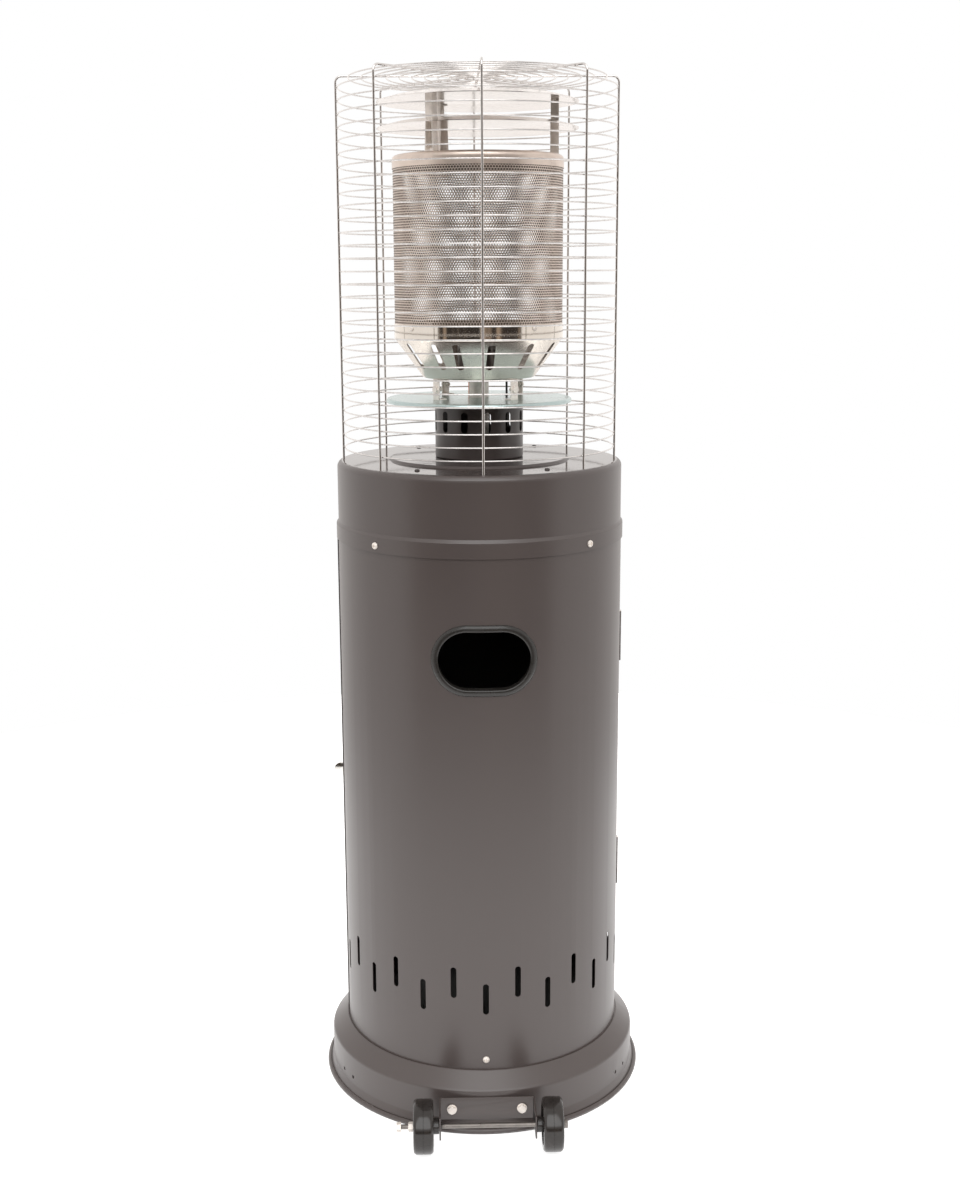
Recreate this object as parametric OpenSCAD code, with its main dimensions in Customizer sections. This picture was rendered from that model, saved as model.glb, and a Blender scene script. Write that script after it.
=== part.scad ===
// Freestanding gas area heater: a wheeled base, a bottle housing with a front door,
// a control hood, a burner under a perforated emitter, twin reflectors and a wire guard.
// Millimetres. The origin is on the floor at the axis, +Z up, -Y to the wheels, +Y to the door.
// Azimuths turn about Z, 0 at the wheel side and positive towards +X.

/* [Base] */
// Radius of the base's upright skirt
skirt_r = 216; // [208:1:230]
// How far the rolled rim stands out from the skirt
rim_step = 9; // [8:1:14]
// Radius of the rolled rim's bead
bead_r = 4; // [3:0.5:6]
// Height of the skirt up to the shoulder
skirt_h = 58; // [55:1:75]
// Rise of the sloping shoulder
shoulder_h = 20; // [14:1:30]
// Rise of the bottle floor above the deck
plug_h = 22; // [20:1:40]
// Sheet thickness of the base
base_t = 1.5; // [1:0.1:2.5]
// Height of the fixing holes in the skirt
fixing_z = 27; // [24:1:34]
// Radius of a fixing hole
fixing_hole_r = 2.5; // [1.5:0.1:3.5]
// Azimuth between the two pairs' middles and the wheels
fixing_az = 61.6; // [50:0.1:80]
// Azimuth from one hole of a pair to the other
fixing_pitch = 7.3; // [4:0.1:12]

/* [Wheels] */
// Wheel radius
wheel_r = 35; // [30:1:40]
// Width of the tread
wheel_w = 26; // [20:1:32]
// Height of a wheel above the floor when the heater stands upright
wheel_lift = 1; // [0.5:0.1:3]
// Radius of the axle
axle_r = 3.2; // [2.5:0.1:5]
// Distance of the axle from the skirt
axle_out = 45; // [42:1:60]
// Width over the bracket's flanges
bracket_w = 127; // [100:1:150]
// Sheet thickness of the bracket
bracket_t = 2; // [1.5:0.1:3]
// Spacing of the bracket's bolts
bolt_pitch = 93; // [70:1:98]
// Gap between a flange and the tread beside it
wheel_gap = 7.5; // [3:0.5:14]

/* [Body] */
// Outer radius of the rear shell
body_r = 192.3; // [180:0.1:196]
// Sheet thickness of the rear shell
body_t = 1; // [0.8:0.1:1.6]
// Height of the hood's lower edge
hood_z = 772; // [700:1:820]
// Number of vents round the body
vent_count = 28; // [20:2:32]
// Width of a vent
vent_w = 8; // [5:0.5:11]
// Height of a vent
vent_h = 43.5; // [25:0.5:55]
// Height of the lower row of vents
vent_z = 157; // [125:1:200]
// Rise of every second vent
vent_rise = 22.5; // [0:0.5:30]

/* [Grip] */
// Width of the hand hole
grip_w = 118; // [95:1:130]
// Height of the hand hole
grip_h = 75; // [50:1:85]
// Face width of the bezel
grip_rim = 9; // [6:0.5:14]
// Wall of the bezel's collar in the hole
collar_t = 2.8; // [2:0.1:4]
// How far the bezel stands proud of the shell
bezel_out = 3.2; // [2:0.1:6]
// Height of the hand hole's middle
grip_z = 641; // [560:1:670]

/* [Door] */
// Sheet thickness of the door
door_t = 1; // [0.8:0.1:1.6]
// Azimuth of the door's free edge
door_edge_az = -86; // [-88:0.5:-82]
// Height of the latch
latch_z = 427; // [380:1:540]
// Azimuth of the latch
latch_az = -100; // [-104:0.5:-97]
// Radius of the latch's barrel
barrel_r = 5; // [3.5:0.1:7]
// Height of the latch's wing
wing_h = 19; // [16:1:24]
// Reach of the latch's cam from its barrel
cam_reach = 34; // [30:1:40]
// Length of a hinge
hinge_h = 70; // [50:1:90]
// Height of the upper hinge's top
hinge_top_z = 661; // [600:1:700]
// Height of the lower hinge's top
hinge_low_z = 330; // [300:1:400]
// Radius of a hinge knuckle
knuckle_r = 3; // [2.6:0.1:4]
// Radius of a hinge pin
hinge_pin_r = 1.5; // [1:0.1:1.8]

/* [Hood] */
// Height of the hood
hood_h = 104; // [98:1:130]
// Height of the hood's lapped band
band_h = 22; // [20:1:28]
// Sheet thickness of the hood
hood_t = 1.5; // [1:0.1:2]
// Radius of the hood's top edge
hood_edge_r = 8; // [5:0.5:12]
// Radius of the raised plinth on the hood
plinth_r = 119; // [100:1:130]
// Rise of the plinth
plinth_h = 3; // [2:0.5:6]
// Radius of the circle of top screws
top_screw_r = 156; // [145:1:165]

/* [Controls] */
// Height of the controls above the hood's lower edge
control_rise = 62; // [56:1:68]
// Radius of the control knob
knob_r = 22; // [17:1:24]
// Length of the control knob
knob_h = 20; // [16:1:24]
// Radius of the valve's stem
stem_r = 4; // [3:0.1:5]
// Travel of the stem when the knob is pushed
stem_travel = 5; // [3:0.5:5]
// Distance of the igniter from the knob
igniter_x = 38; // [36:1:42]
// Radius of the igniter's button
button_r = 5.8; // [4:0.1:6.5]
// Travel of the igniter's button
button_travel = 4; // [2:0.5:5]
// Width of the control panel
panel_w = 124; // [112:1:140]
// Height of the control panel
panel_h = 56; // [50:1:60]
// Radius of the gas inlet's hose tail
tail_r = 4.5; // [3.5:0.1:5.5]
// Length of the hose tail
tail_h = 25; // [15:1:27]

/* [Burner] */
// Radius of the neck
neck_r = 59; // [54:0.1:65]
// Height of the neck
neck_h = 77.5; // [65:0.5:100]
// Number of slots round the neck
neck_slots = 12; // [6:1:14]
// Width of a slot in the neck
neck_slot_w = 9.5; // [4:0.1:10]
// Radius of the heat shield
shield_r = 124; // [100:1:130]
// Thickness of the heat shield
shield_t = 1.5; // [1:0.1:3]
// Gap between the heat shield and the bowl
stand_h = 27; // [20:1:40]
// Radius of the bowl's floor
bowl_floor_r = 74; // [70:1:84]
// Radius of the bowl's band
bowl_r = 112; // [104:0.5:118]
// Height of the bowl's cone
cone_h = 52; // [44:1:64]
// Height of the bowl's band
bowl_band_h = 19; // [14:1:26]
// Width of a slot in the cone
cone_slot_w = 10; // [4:0.5:12]
// Radius of the venturi tube
venturi_r = 13; // [10:0.5:16]
// Visible height of the emitter screen and its cap
screen_h = 214; // [160:1:240]

/* [Reflectors] */
// Radius of both reflectors
reflector_r = 131; // [115:1:140]
// Height of the lower reflector above the cap
lower_rise = 39; // [30:1:46]
// Height of the upper reflector above the lower one
upper_rise = 33; // [24:1:40]
// Radius of the circle of posts
post_circle_r = 105; // [84:1:106]
// Width of a post's legs
post_leg = 10.5; // [10.5:0.5:14]
// Width of a trestle at its top
trestle_w = 10.5; // [10.5:0.5:16]

/* [Guard] */
// Radius of the upright wires
upright_r = 1.5; // [1:0.1:2.5]
// Radius of the ring wires
ring_r = 1; // [0.8:0.1:1.5]
// Number of uprights
upright_count = 8; // [6:1:10]
// Spacing of the rings
ring_pitch = 16.45; // [12:0.05:24]
// Height of the guard's top wires above the upper reflector
head_room = 26.5; // [20:0.5:60]
// Radius of the bend at the guard's top
guard_bend_r = 8; // [5:0.5:14]

/* [Hidden] */
$fn = 96;

// Gap between faces that seat on each other
seat = 0.1;
// Radial clearance of pins, shafts and screws in their holes
run = 0.05;
// Gap between curved sheets that slide past each other
lap = 0.4;
// Overrun of a cut past the sheet it goes through
over = 6;

// Paint and metal colours
paint = [0.38, 0.35, 0.34];
dark_paint = [0.27, 0.25, 0.25];
plastic = [0.16, 0.16, 0.16];
steel = [0.72, 0.72, 0.71];
zinc = [0.86, 0.86, 0.85];
bright = [0.90, 0.90, 0.91];
pale_tint = [0.82, 0.87, 0.86];
brass = [0.80, 0.64, 0.32];
copper = [0.78, 0.47, 0.32];
ceramic = [0.93, 0.92, 0.88];

// Heights of the stack
deck_h = skirt_h + shoulder_h;
floor_h = deck_h + plug_h;
joggle_z = hood_z + band_h;
hood_top = hood_z + hood_h;
plinth_top = hood_top + plinth_h;
neck_top = plinth_top + neck_h;
shield_top = neck_top + shield_t;
bowl_z = shield_top + stand_h;
band_z = bowl_z + cone_h;
bowl_top = band_z + bowl_band_h;
bowl_screw_z = bowl_top - 5;
cap_top = bowl_top + screen_h;
lower_z = cap_top + lower_rise;
upper_z = lower_z + upper_rise;
guard_z = upper_z + head_room;

// Base and wheels
foot_r = skirt_r + rim_step;
foot_flat = 0.5;
bead_z = bead_r - foot_flat;
rim_h = 17;
edge_fillet = 6;
ledge = 2.7;
plug_r = body_r - body_t - seat;
axle_y = -(skirt_r + axle_out);
axle_z = wheel_r + wheel_lift;
bracket_y = -(skirt_r + seat);
bracket_face_y = bracket_y - bracket_t;
bracket_above = 15;
bracket_h = 31;
bracket_z = axle_z + bracket_above - bracket_h;
flange_past = 8;
bolt_r = 3;
bolt_z = axle_z - 1;
bolt_past = 2;
hex_h = 5;
hex_r = 5.8;
tread_x = bracket_w / 2 + wheel_gap;
hub_r = 10;
hub_out = 0.5;
wheel_rim_in = wheel_r - 9;
wheel_recess = 5;
tread_chamfer = 3;
axle_head_x = tread_x + wheel_w + hub_out + seat * 3;
axle_nut_h = 6;
axle_nut_r = axle_r + 3;
axle_tail = 15.5;

// Small screws
screw_r = 2.4;
screw_head_r = 4.6;
screw_head_h = 3;
screw_in = 9;
fine_screw_r = 2;
fine_head_r = 3.4;
fine_head_h = 2;
fine_screw_in = 5;

// Shell, rail and door
shell_az = [-93, 90];
rail_az = [90.05, 266.95];
shell_top = joggle_z - 4;
rail_h = 38;
door_in_r = body_r + lap;
door_r = door_in_r + door_t;
door_gap = 2;
door_z = deck_h + door_gap;
door_top = hood_z - door_gap;
vent_pitch = 360 / vent_count;
vent_edge = 5;
grip_cut = 40;
collar_in = 10;
base_screw_z = floor_h - 8;
hood_screw_az = [-135, -45, 45, 135];
hood_screw_z = hood_z + 9;
top_screw_az = [-148, -32, 32, 148];

// Hinges, on an upright axis in the gap beside the rear shell's edge
edge_gap = 0.3;
web_root = 1;
hinge_x = body_r + 0.8;
hinge_y = knuckle_r + edge_gap + seat;
hinge_tops = [hinge_top_z, hinge_low_z];
leaf_t = 1.5;
leaf_w = 16;
leaf_x = sqrt(pow(body_r - body_t, 2) - leaf_w * leaf_w) - seat;
door_leaf_y = hinge_y + knuckle_r + edge_gap;
door_leaf_x = sqrt(pow(door_in_r, 2) - pow(door_leaf_y + leaf_w, 2)) - seat;
door_hinge_az = 90 + asin((door_leaf_y + 2 * edge_gap) / door_in_r);
knuckle_gap = 0.4;
fixed_knuckle_h = hinge_h * 0.32;
pin_head_h = 1.5;
pin_head_r = knuckle_r - 0.4;

// Latch, on a radial axis through the door
rose_h = 3;
rose_r = barrel_r + 5;
latch_nut_h = 4;
latch_nut_r = rose_r - 0.5;
wing_t = 4;
wing_root = rose_h + 0.4;
wing_out = 5;
spigot_r = barrel_r - 2;
cam_t = 2;
cam_w = 9;
cam_r = door_in_r - 7.7;
cam_nut_h = 2.5;
cam_nut_r = spigot_r + 3;
strike_t = 1.2;
strike_h = 38;
strike_az = 9;

// Hood and controls
band_in_r = body_r + lap;
band_r = band_in_r + hood_t;
hood_r = body_r - 0.8;
joggle_half = 2;
hood_hole_r = neck_r - 9;
control_z = hood_z + control_rise;
panel_out = 4.5;
panel_y = hood_r + panel_out;
panel_depth = 20;
panel_corner_r = 8;
knob_gap = stem_travel + 1;
knob_skirt_h = 5;
knob_body_r = knob_r - 5;
knob_flat = 5;
knob_bore_h = knob_h - 6;
control_hole_r = stem_r + 2;
plate_y = hood_r - 23.3;
plate_t = 1.5;
plate_w = 110;
plate_drop = 28;
plate_flange = 20;
valve_size = [44, 46, 44];
valve_back_y = plate_y - seat - valve_size[1];
boss_r = 8;
boss_h = 10;
stem_in = 34;
stem_back_y = plate_y - stem_in;
igniter_r = button_r + 2.2;
igniter_flange_r = igniter_r + 3;
igniter_flange_h = 2;
igniter_in = 56;
igniter_back_y = panel_y - igniter_in;
button_out = button_travel + 3;
button_in = 30;
button_back_y = panel_y - button_in;
inlet_y = valve_back_y + valve_size[1] / 2;
inlet_hex_h = 12;
inlet_hex_r = tail_r + 2.5;
inlet_z = control_z - valve_size[2] / 2 - inlet_hex_h;
tilt_size = [22, 20, 25];
tilt_in = 2;

// Burner
pipe_bend = 15;
pipe_r = 4;
pipe_z = control_z + 6;
injector_z = plinth_top - 7;
injector_h = 18;
spigot_h = 8;
injector_floor = 4;
injector_hex_r = venturi_r + 1;
jet_r = 3;
venturi_t = 1.5;
venturi_z = injector_z + injector_h - spigot_h;
venturi_top = bowl_z + 18;
air_hole_r = 5;
wire_bend = 10;
pilot_r = 2;
pilot_xy = [12, 35];
pilot_z = control_z + 16;
pilot_hex_h = 12;
pilot_hex_r = pilot_r + 3;
pilot_burner_r = pilot_r + 1.5;
pilot_h = 34;
couple_r = 1.5;
couple_xy = [-12, 35];
couple_z = control_z + 12;
couple_h = 32;
lead_r = 1.5;
lead_y = 20;
electrode_r = 3;
electrode_h = 26;
electrode_z = bowl_z - 6;
electrode_tip_r = 1;
electrode_tip_h = 20;
burner_r = 28;
burner_h = 26;
burner_t = 1.5;
venturi_past = 1;
port_count = 24;
port_r = 1.5;
neck_t = 1.2;
neck_flange = 7;
neck_slot_h = 28;
neck_slot_z = 35;
neck_slot_az = 9;
bracket_az = [for (i = [0:3]) -52 + 90 * i];
stand_r = bowl_floor_r - 1;
stand_foot = 13;
stand_w = 12;
stand_t = 1.5;
bowl_t = 0.8;
bowl_fillet = 4;
cone_slot_h = 41.5;
cone_slot_at = 0.58;
cone_slot_az = [-60, -34, -17.5, 7.5, 37.5, 64, 92];
shield_rim = 5.5;
shield_edge_r = 3.5;
screen_t = 0.8;
screen_r = bowl_r - bowl_t - seat;
screen_z = band_z + bowl_fillet;
cap_t = 0.8;
cap_skirt = 17;
cap_edge_r = 6;

// Reflectors and guard
post_az = [-37, 87, 207];
post_t = 1.5;
trestle_d = 11;
trestle_splay = 1.5;
post_hole_r = post_circle_r - trestle_d / 2;
reflector_t = 0.8;
reflector_drop = 6;
reflector_slope = 22;
guard_r = hood_r - hood_edge_r - 0.7;
ring_circle_r = guard_r - upright_r - ring_r - seat;
ring_first_z = hood_top + 17;
ring_count = floor((guard_z - guard_bend_r - 2 - ring_first_z) / ring_pitch) + 1;
ring_split = ceil(ring_count / 2);
top_ring_z = guard_z - upright_r - ring_r - seat;
top_ring_count = floor((guard_r - 14) / ring_pitch);
spoke_in_r = upright_r / sin(180 / upright_count) + 0.6;
guard_hub_r = spoke_in_r + 6;
guard_hub_t = 1.5;

// Geometry helpers

// Direction of length 1
function unit(v) = v / norm(v);

// Points of the arc of radius r that rounds the corner b between a and c
function corner_arc(a, b, c, r, n = 6) =
    let (
        u = unit(a - b),
        w = unit(c - b),
        half = acos(u * w) / 2,
        centre = b + unit(u + w) * r / sin(half),
        from = b + u * r / tan(half) - centre,
        to = b + w * r / tan(half) - centre,
        start = atan2(from[1], from[0]),
        sweep = (atan2(to[1], to[0]) - start + 540) % 360 - 180
    )
    [for (i = [0:n]) centre + r * [cos(start + sweep * i / n), sin(start + sweep * i / n)]];

// A path of [x, y, radius] points with its corners rounded
function rounded(path) =
    let (p = [for (q = path) [q[0], q[1]]])
    [for (i = [0:len(path) - 1])
        each (i == 0 || i == len(path) - 1 || path[i][2] == 0
            ? [p[i]]
            : corner_arc(p[i - 1], p[i], p[i + 1], path[i][2]))];

// Left-hand normal of the path's segment i, held at its ends
function left_normal(p, i) =
    let (k = min(max(i, 0), len(p) - 2), d = unit(p[k + 1] - p[k]))
    [-d[1], d[0]];

// The path moved t to its left
function shifted(p, t) =
    [for (i = [0:len(p) - 1])
        let (n = left_normal(p, i - 1), m = left_normal(p, i))
        p[i] + t * (n + m) / (1 + n * m)];

// A path's points from last to first
function reversed(p) = [for (i = [len(p) - 1:-1:0]) p[i]];

// A sheet of thickness t, spun from the path of one of its faces
module spun_sheet(path, t) {
    p = rounded(path);
    rotate_extrude() polygon(concat(p, reversed(shifted(p, t))));
}

// Turns +X to an azimuth
module at_az(az) {
    rotate([0, 0, az - 90]) children();
}

// Turns +Z to the outward direction at an azimuth, r from the axis and z above the floor
module outward(az, r, z) {
    at_az(az) translate([r, 0, z]) rotate([0, 90, 0]) children();
}

// Turns +Z to +Y at a place
module forward(place) {
    translate(place) rotate([-90, 0, 0]) children();
}

// Part of a tube between two azimuths
module tube_sector(outer_r, t, h, az) {
    at_az(az[0]) rotate_extrude(angle = az[1] - az[0])
        translate([outer_r - t, 0]) square([t, h]);
}

// A tube
module tube(outer_r, inner_r, h) {
    difference() {
        cylinder(r = outer_r, h = h);
        translate([0, 0, -1]) cylinder(r = inner_r, h = h + 2);
    }
}

// A bar with round ends, l long along X and w wide, standing on Z
module obround(l, w, h) {
    translate([-(l - w) / 2, -w / 2, 0]) cube([l - w, w, h]);
    for (side = [-1, 1]) translate([side * (l - w) / 2, 0, 0]) cylinder(d = w, h = h);
}

// A pan-headed screw pointing down from z = 0
module screw(r, h, head_r, head_h) {
    translate([0, 0, -h]) cylinder(r = r, h = h);
    cylinder(r = head_r, h = head_h);
}

// A hexagonal nut standing on z = 0
module hex_nut(r, bore_r, h) {
    difference() {
        cylinder(r = r, h = h, $fn = 6);
        translate([0, 0, -1]) cylinder(r = bore_r, h = h + 2);
    }
}

// A pipe from the plane y = y0 towards -Y and then up to z1 at the point xy
module riser_pipe(xy, y0, z0, z1, r, bend) {
    forward([xy[0], xy[1] + bend, z0]) cylinder(r = r, h = y0 - xy[1] - bend);
    translate([xy[0], xy[1] + bend, z0 + bend]) rotate([90, 0, 90]) rotate([0, 0, 180])
        rotate_extrude(angle = 90) translate([bend, 0]) circle(r = r);
    translate([xy[0], xy[1], z0 + bend]) cylinder(r = r, h = z1 - z0 - bend);
}

// Base and wheels

module base_pan() {
    color(paint) difference() {
        union() {
            spun_sheet([
                [foot_r - bead_r, bead_z, 0],
                [skirt_r, rim_h, edge_fillet],
                [skirt_r, skirt_h, edge_fillet],
                [body_r + ledge, deck_h, base_t + 1],
                [plug_r, deck_h, 0],
                [plug_r, floor_h, base_t + 1.5],
                [0, floor_h, 0]
            ], base_t);
            rotate_extrude() translate([foot_r - bead_r, bead_z]) circle(r = bead_r);
        }
        translate([0, 0, -bead_r]) cylinder(r = foot_r + 1, h = bead_r);
        for (side = [-1, 1], k = [-0.5, 0.5])
            outward(side * fixing_az + k * fixing_pitch, skirt_r - over, fixing_z)
                cylinder(r = fixing_hole_r, h = 2 * over);
        for (side = [-1, 1])
            forward([side * bolt_pitch / 2, -skirt_r - 1, bolt_z]) cylinder(r = bolt_r + run, h = 3 * over);
        outward(0, plug_r - over, base_screw_z) cylinder(r = screw_r + run, h = 2 * over);
    }
}

module wheel_bracket() {
    reach = bracket_y - axle_y + flange_past;
    color(paint) difference() {
        union() {
            translate([-bracket_w / 2, bracket_face_y, bracket_z]) cube([bracket_w, bracket_t, bracket_h]);
            for (x = [-bracket_w / 2, bracket_w / 2 - bracket_t])
                translate([x, bracket_y - reach, bracket_z]) cube([bracket_t, reach, bracket_h]);
        }
        for (side = [-1, 1])
            forward([side * bolt_pitch / 2, bracket_face_y - 1, bolt_z])
                cylinder(r = bolt_r + run, h = bracket_t + 2);
        translate([-bracket_w / 2 - 1, axle_y, axle_z]) rotate([0, 90, 0])
            cylinder(r = axle_r + run, h = bracket_w + 2);
    }
}

module bracket_bolts() {
    nut_y = -sqrt(pow(skirt_r - base_t, 2) - pow(bolt_pitch / 2 + hex_r, 2)) + seat;
    color(zinc) for (side = [-1, 1]) {
        forward([side * bolt_pitch / 2, bracket_face_y - seat - hex_h, bolt_z]) {
            cylinder(r = hex_r, h = hex_h, $fn = 6);
            cylinder(r = bolt_r, h = nut_y + hex_h + bolt_past - bracket_face_y + seat + hex_h);
        }
        forward([side * bolt_pitch / 2, nut_y, bolt_z]) hex_nut(hex_r, bolt_r + run, hex_h);
    }
}

module wheel_axle() {
    color(steel) translate([0, axle_y, axle_z]) rotate([0, 90, 0]) {
        translate([0, 0, -axle_head_x - axle_nut_h - axle_tail])
            cylinder(r = axle_r, h = 2 * axle_head_x + axle_nut_h + axle_tail);
        translate([0, 0, axle_head_x]) cylinder(r = axle_nut_r, h = axle_nut_h, $fn = 6);
    }
}

module axle_nuts() {
    color(zinc) for (x = [-axle_head_x - axle_nut_h, -axle_head_x - axle_nut_h - axle_tail])
        translate([x, axle_y, axle_z]) rotate([0, 90, 0]) hex_nut(axle_nut_r, axle_r + run, axle_nut_h);
}

// A wheel on the +X end of the axle
module wheel() {
    near = tread_x;
    far = tread_x + wheel_w;
    hub_near = bracket_w / 2 + 3 * seat;
    bore_r = axle_r + run;
    translate([0, axle_y, axle_z]) rotate([0, 90, 0]) rotate_extrude() polygon([
        [bore_r, hub_near],
        [hub_r, hub_near],
        [hub_r, near + wheel_recess],
        [wheel_rim_in, near + wheel_recess],
        [wheel_rim_in, near],
        [wheel_r - tread_chamfer, near],
        [wheel_r, near + tread_chamfer],
        [wheel_r, far - tread_chamfer],
        [wheel_r - tread_chamfer, far],
        [wheel_rim_in, far],
        [wheel_rim_in, far - wheel_recess],
        [hub_r, far - wheel_recess],
        [hub_r, far + hub_out],
        [bore_r, far + hub_out]
    ]);
}

module wheel_left() {
    color(plastic) mirror([1, 0, 0]) wheel();
}

module wheel_right() {
    color(plastic) wheel();
}

// Body and door

// Vents whose middles lie between two azimuths
module vents(az, r) {
    for (i = [0:vent_count - 1], turn = [-360, 0]) {
        place = i * vent_pitch + turn;
        if (place > az[0] + vent_edge && place < az[1] - vent_edge)
            outward(place, r - over, vent_z + vent_h / 2 + vent_rise * (i % 2))
                obround(vent_h, vent_w, 2 * over);
    }
}

// The hand hole's outline grown by a margin, cut along the rear direction
module grip_outline(margin, r0, r1) {
    outward(0, r0, grip_z) rotate([0, 0, 90])
        obround(grip_w + 2 * margin, grip_h + 2 * margin, r1 - r0);
}

module rear_shell() {
    color(paint) difference() {
        translate([0, 0, deck_h]) tube_sector(body_r, body_t, shell_top - deck_h, shell_az);
        vents(shell_az, body_r);
        grip_outline(collar_t + seat, body_r - grip_cut, body_r + over);
        outward(0, body_r - over, base_screw_z) cylinder(r = screw_r + run, h = 2 * over);
        for (az = hood_screw_az) outward(az, body_r - over, hood_screw_z)
            cylinder(r = screw_r + run, h = 2 * over);
    }
}

module front_rail() {
    color(paint) difference() {
        translate([0, 0, shell_top - rail_h]) tube_sector(body_r, body_t, rail_h, rail_az);
        for (az = hood_screw_az) outward(az, body_r - over, hood_screw_z)
            cylinder(r = screw_r + run, h = 2 * over);
    }
}

module grip_bezel() {
    face_r = body_r + bezel_out;
    color(plastic) difference() {
        union() {
            intersection() {
                grip_outline(grip_rim, body_r - grip_cut, body_r + 2 * over);
                translate([0, 0, grip_z - grip_h]) tube(face_r, body_r + seat, 2 * grip_h);
            }
            intersection() {
                grip_outline(collar_t, body_r - grip_cut, body_r + 2 * over);
                translate([0, 0, grip_z - grip_h]) tube(face_r, body_r - collar_in, 2 * grip_h);
            }
        }
        grip_outline(0, body_r - grip_cut - over, body_r + 3 * over);
    }
}

module base_screw() {
    color(zinc) outward(0, body_r + seat, base_screw_z) screw(screw_r, screw_in, screw_head_r, screw_head_h);
}

module hinge_fixed_leaves() {
    color(paint) for (top = hinge_tops) translate([0, 0, top - hinge_h]) difference() {
        union() {
            translate([leaf_x - leaf_t, -leaf_w, 0]) cube([leaf_t, leaf_w - edge_gap, hinge_h]);
            for (z = [0, hinge_h - fixed_knuckle_h]) translate([0, 0, z]) {
                translate([hinge_x, hinge_y, 0]) cylinder(r = knuckle_r, h = fixed_knuckle_h);
                translate([leaf_x - leaf_t, -web_root, 0]) cube([leaf_t, 2 * web_root, fixed_knuckle_h]);
                translate([leaf_x - leaf_t, hinge_y - knuckle_r, 0])
                    cube([hinge_x - leaf_x + leaf_t, leaf_t, fixed_knuckle_h]);
            }
        }
        translate([hinge_x, hinge_y, -1]) cylinder(r = hinge_pin_r + run, h = hinge_h + 2);
    }
}

module hinge_pins() {
    color(zinc) for (top = hinge_tops) translate([hinge_x, hinge_y, top]) {
        translate([0, 0, -hinge_h]) cylinder(r = hinge_pin_r, h = hinge_h + seat);
        translate([0, 0, seat]) cylinder(r = pin_head_r, h = pin_head_h);
    }
}

module hinge_door_leaves() {
    z0 = fixed_knuckle_h + knuckle_gap;
    h = hinge_h - 2 * z0;
    color(paint) for (top = hinge_tops) translate([0, 0, top - hinge_h]) difference() {
        union() {
            translate([door_leaf_x - leaf_t, door_leaf_y, 0]) cube([leaf_t, leaf_w, hinge_h]);
            translate([0, 0, z0]) {
                translate([hinge_x, hinge_y, 0]) cylinder(r = knuckle_r, h = h);
                translate([door_leaf_x - leaf_t, hinge_y + knuckle_r - leaf_t, 0])
                    cube([hinge_x - door_leaf_x + leaf_t, leaf_t, h]);
                translate([door_leaf_x - leaf_t, door_leaf_y - web_root, 0]) cube([leaf_t, 2 * web_root, h]);
            }
        }
        translate([hinge_x, hinge_y, -1]) cylinder(r = hinge_pin_r + run, h = hinge_h + 2);
    }
}

module door_panel() {
    az = [door_hinge_az, 360 + door_edge_az];
    color(paint) difference() {
        translate([0, 0, door_z]) tube_sector(door_r, door_t, door_top - door_z, az);
        vents(az, door_r);
        outward(latch_az, door_in_r - over, latch_z) cylinder(r = barrel_r + run, h = 2 * over);
    }
}

module latch_housing() {
    nut_r = sqrt(pow(door_in_r, 2) - rose_r * rose_r) - seat;
    color(steel) {
        outward(latch_az, door_r + seat, latch_z) tube(rose_r, barrel_r + run, rose_h);
        outward(latch_az, nut_r - latch_nut_h, latch_z) tube(latch_nut_r, barrel_r + run, latch_nut_h);
    }
}

module latch_knob() {
    root_r = door_r + wing_root;
    barrel_in = cam_r + seat;
    color(steel) {
        outward(latch_az, barrel_in, latch_z) cylinder(r = barrel_r, h = root_r - barrel_in + 1);
        outward(latch_az, cam_r - cam_t - cam_nut_h, latch_z)
            cylinder(r = spigot_r, h = cam_t + cam_nut_h + seat);
        intersection() {
            outward(latch_az, root_r + wing_out, latch_z) rotate([90, 0, 0])
                translate([0, 0, -wing_t / 2]) cylinder(d = wing_h, h = wing_t);
            outward(latch_az, root_r, latch_z) cylinder(r = wing_h, h = wing_h);
        }
    }
}

module latch_cam() {
    color(zinc) {
        outward(latch_az, cam_r - cam_t, latch_z) difference() {
            translate([-cam_reach, -cam_w / 2, 0]) cube([cam_reach + cam_w / 2, cam_w, cam_t]);
            translate([0, 0, -1]) cylinder(r = spigot_r + run, h = cam_t + 2);
        }
        outward(latch_az, cam_r - cam_t - cam_nut_h - seat, latch_z)
            hex_nut(cam_nut_r, spigot_r + run, cam_nut_h);
    }
}

module latch_strike() {
    color(zinc) translate([0, 0, latch_z - strike_h / 2])
        tube_sector(body_r - body_t - seat, strike_t, strike_h, [shell_az[0], shell_az[0] + strike_az]);
}

// Hood and controls

module hood() {
    color(paint) difference() {
        spun_sheet([
            [band_r, hood_z, 0],
            [band_r, joggle_z - joggle_half, joggle_half],
            [hood_r, joggle_z + joggle_half, joggle_half],
            [hood_r, hood_top, hood_edge_r],
            [plinth_r + plinth_h, hood_top, hood_t],
            [plinth_r, plinth_top, hood_t + 0.5],
            [hood_hole_r, plinth_top, 0]
        ], hood_t);
        for (az = hood_screw_az) outward(az, body_r - over, hood_screw_z)
            cylinder(r = screw_r + run, h = 2 * over);
        for (az = top_screw_az) at_az(az) translate([top_screw_r, 0, hood_top - over])
            cylinder(r = fine_screw_r + run, h = 2 * over);
        forward([0, hood_r - 2 * over, control_z]) cylinder(r = control_hole_r, h = 3 * over);
        forward([igniter_x, hood_r - 4 * over, control_z]) cylinder(r = igniter_r + run, h = 6 * over);
    }
}

module hood_screws() {
    color(zinc) for (az = hood_screw_az) outward(az, band_r + seat, hood_screw_z)
        screw(screw_r, screw_in, screw_head_r, screw_head_h);
}

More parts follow.
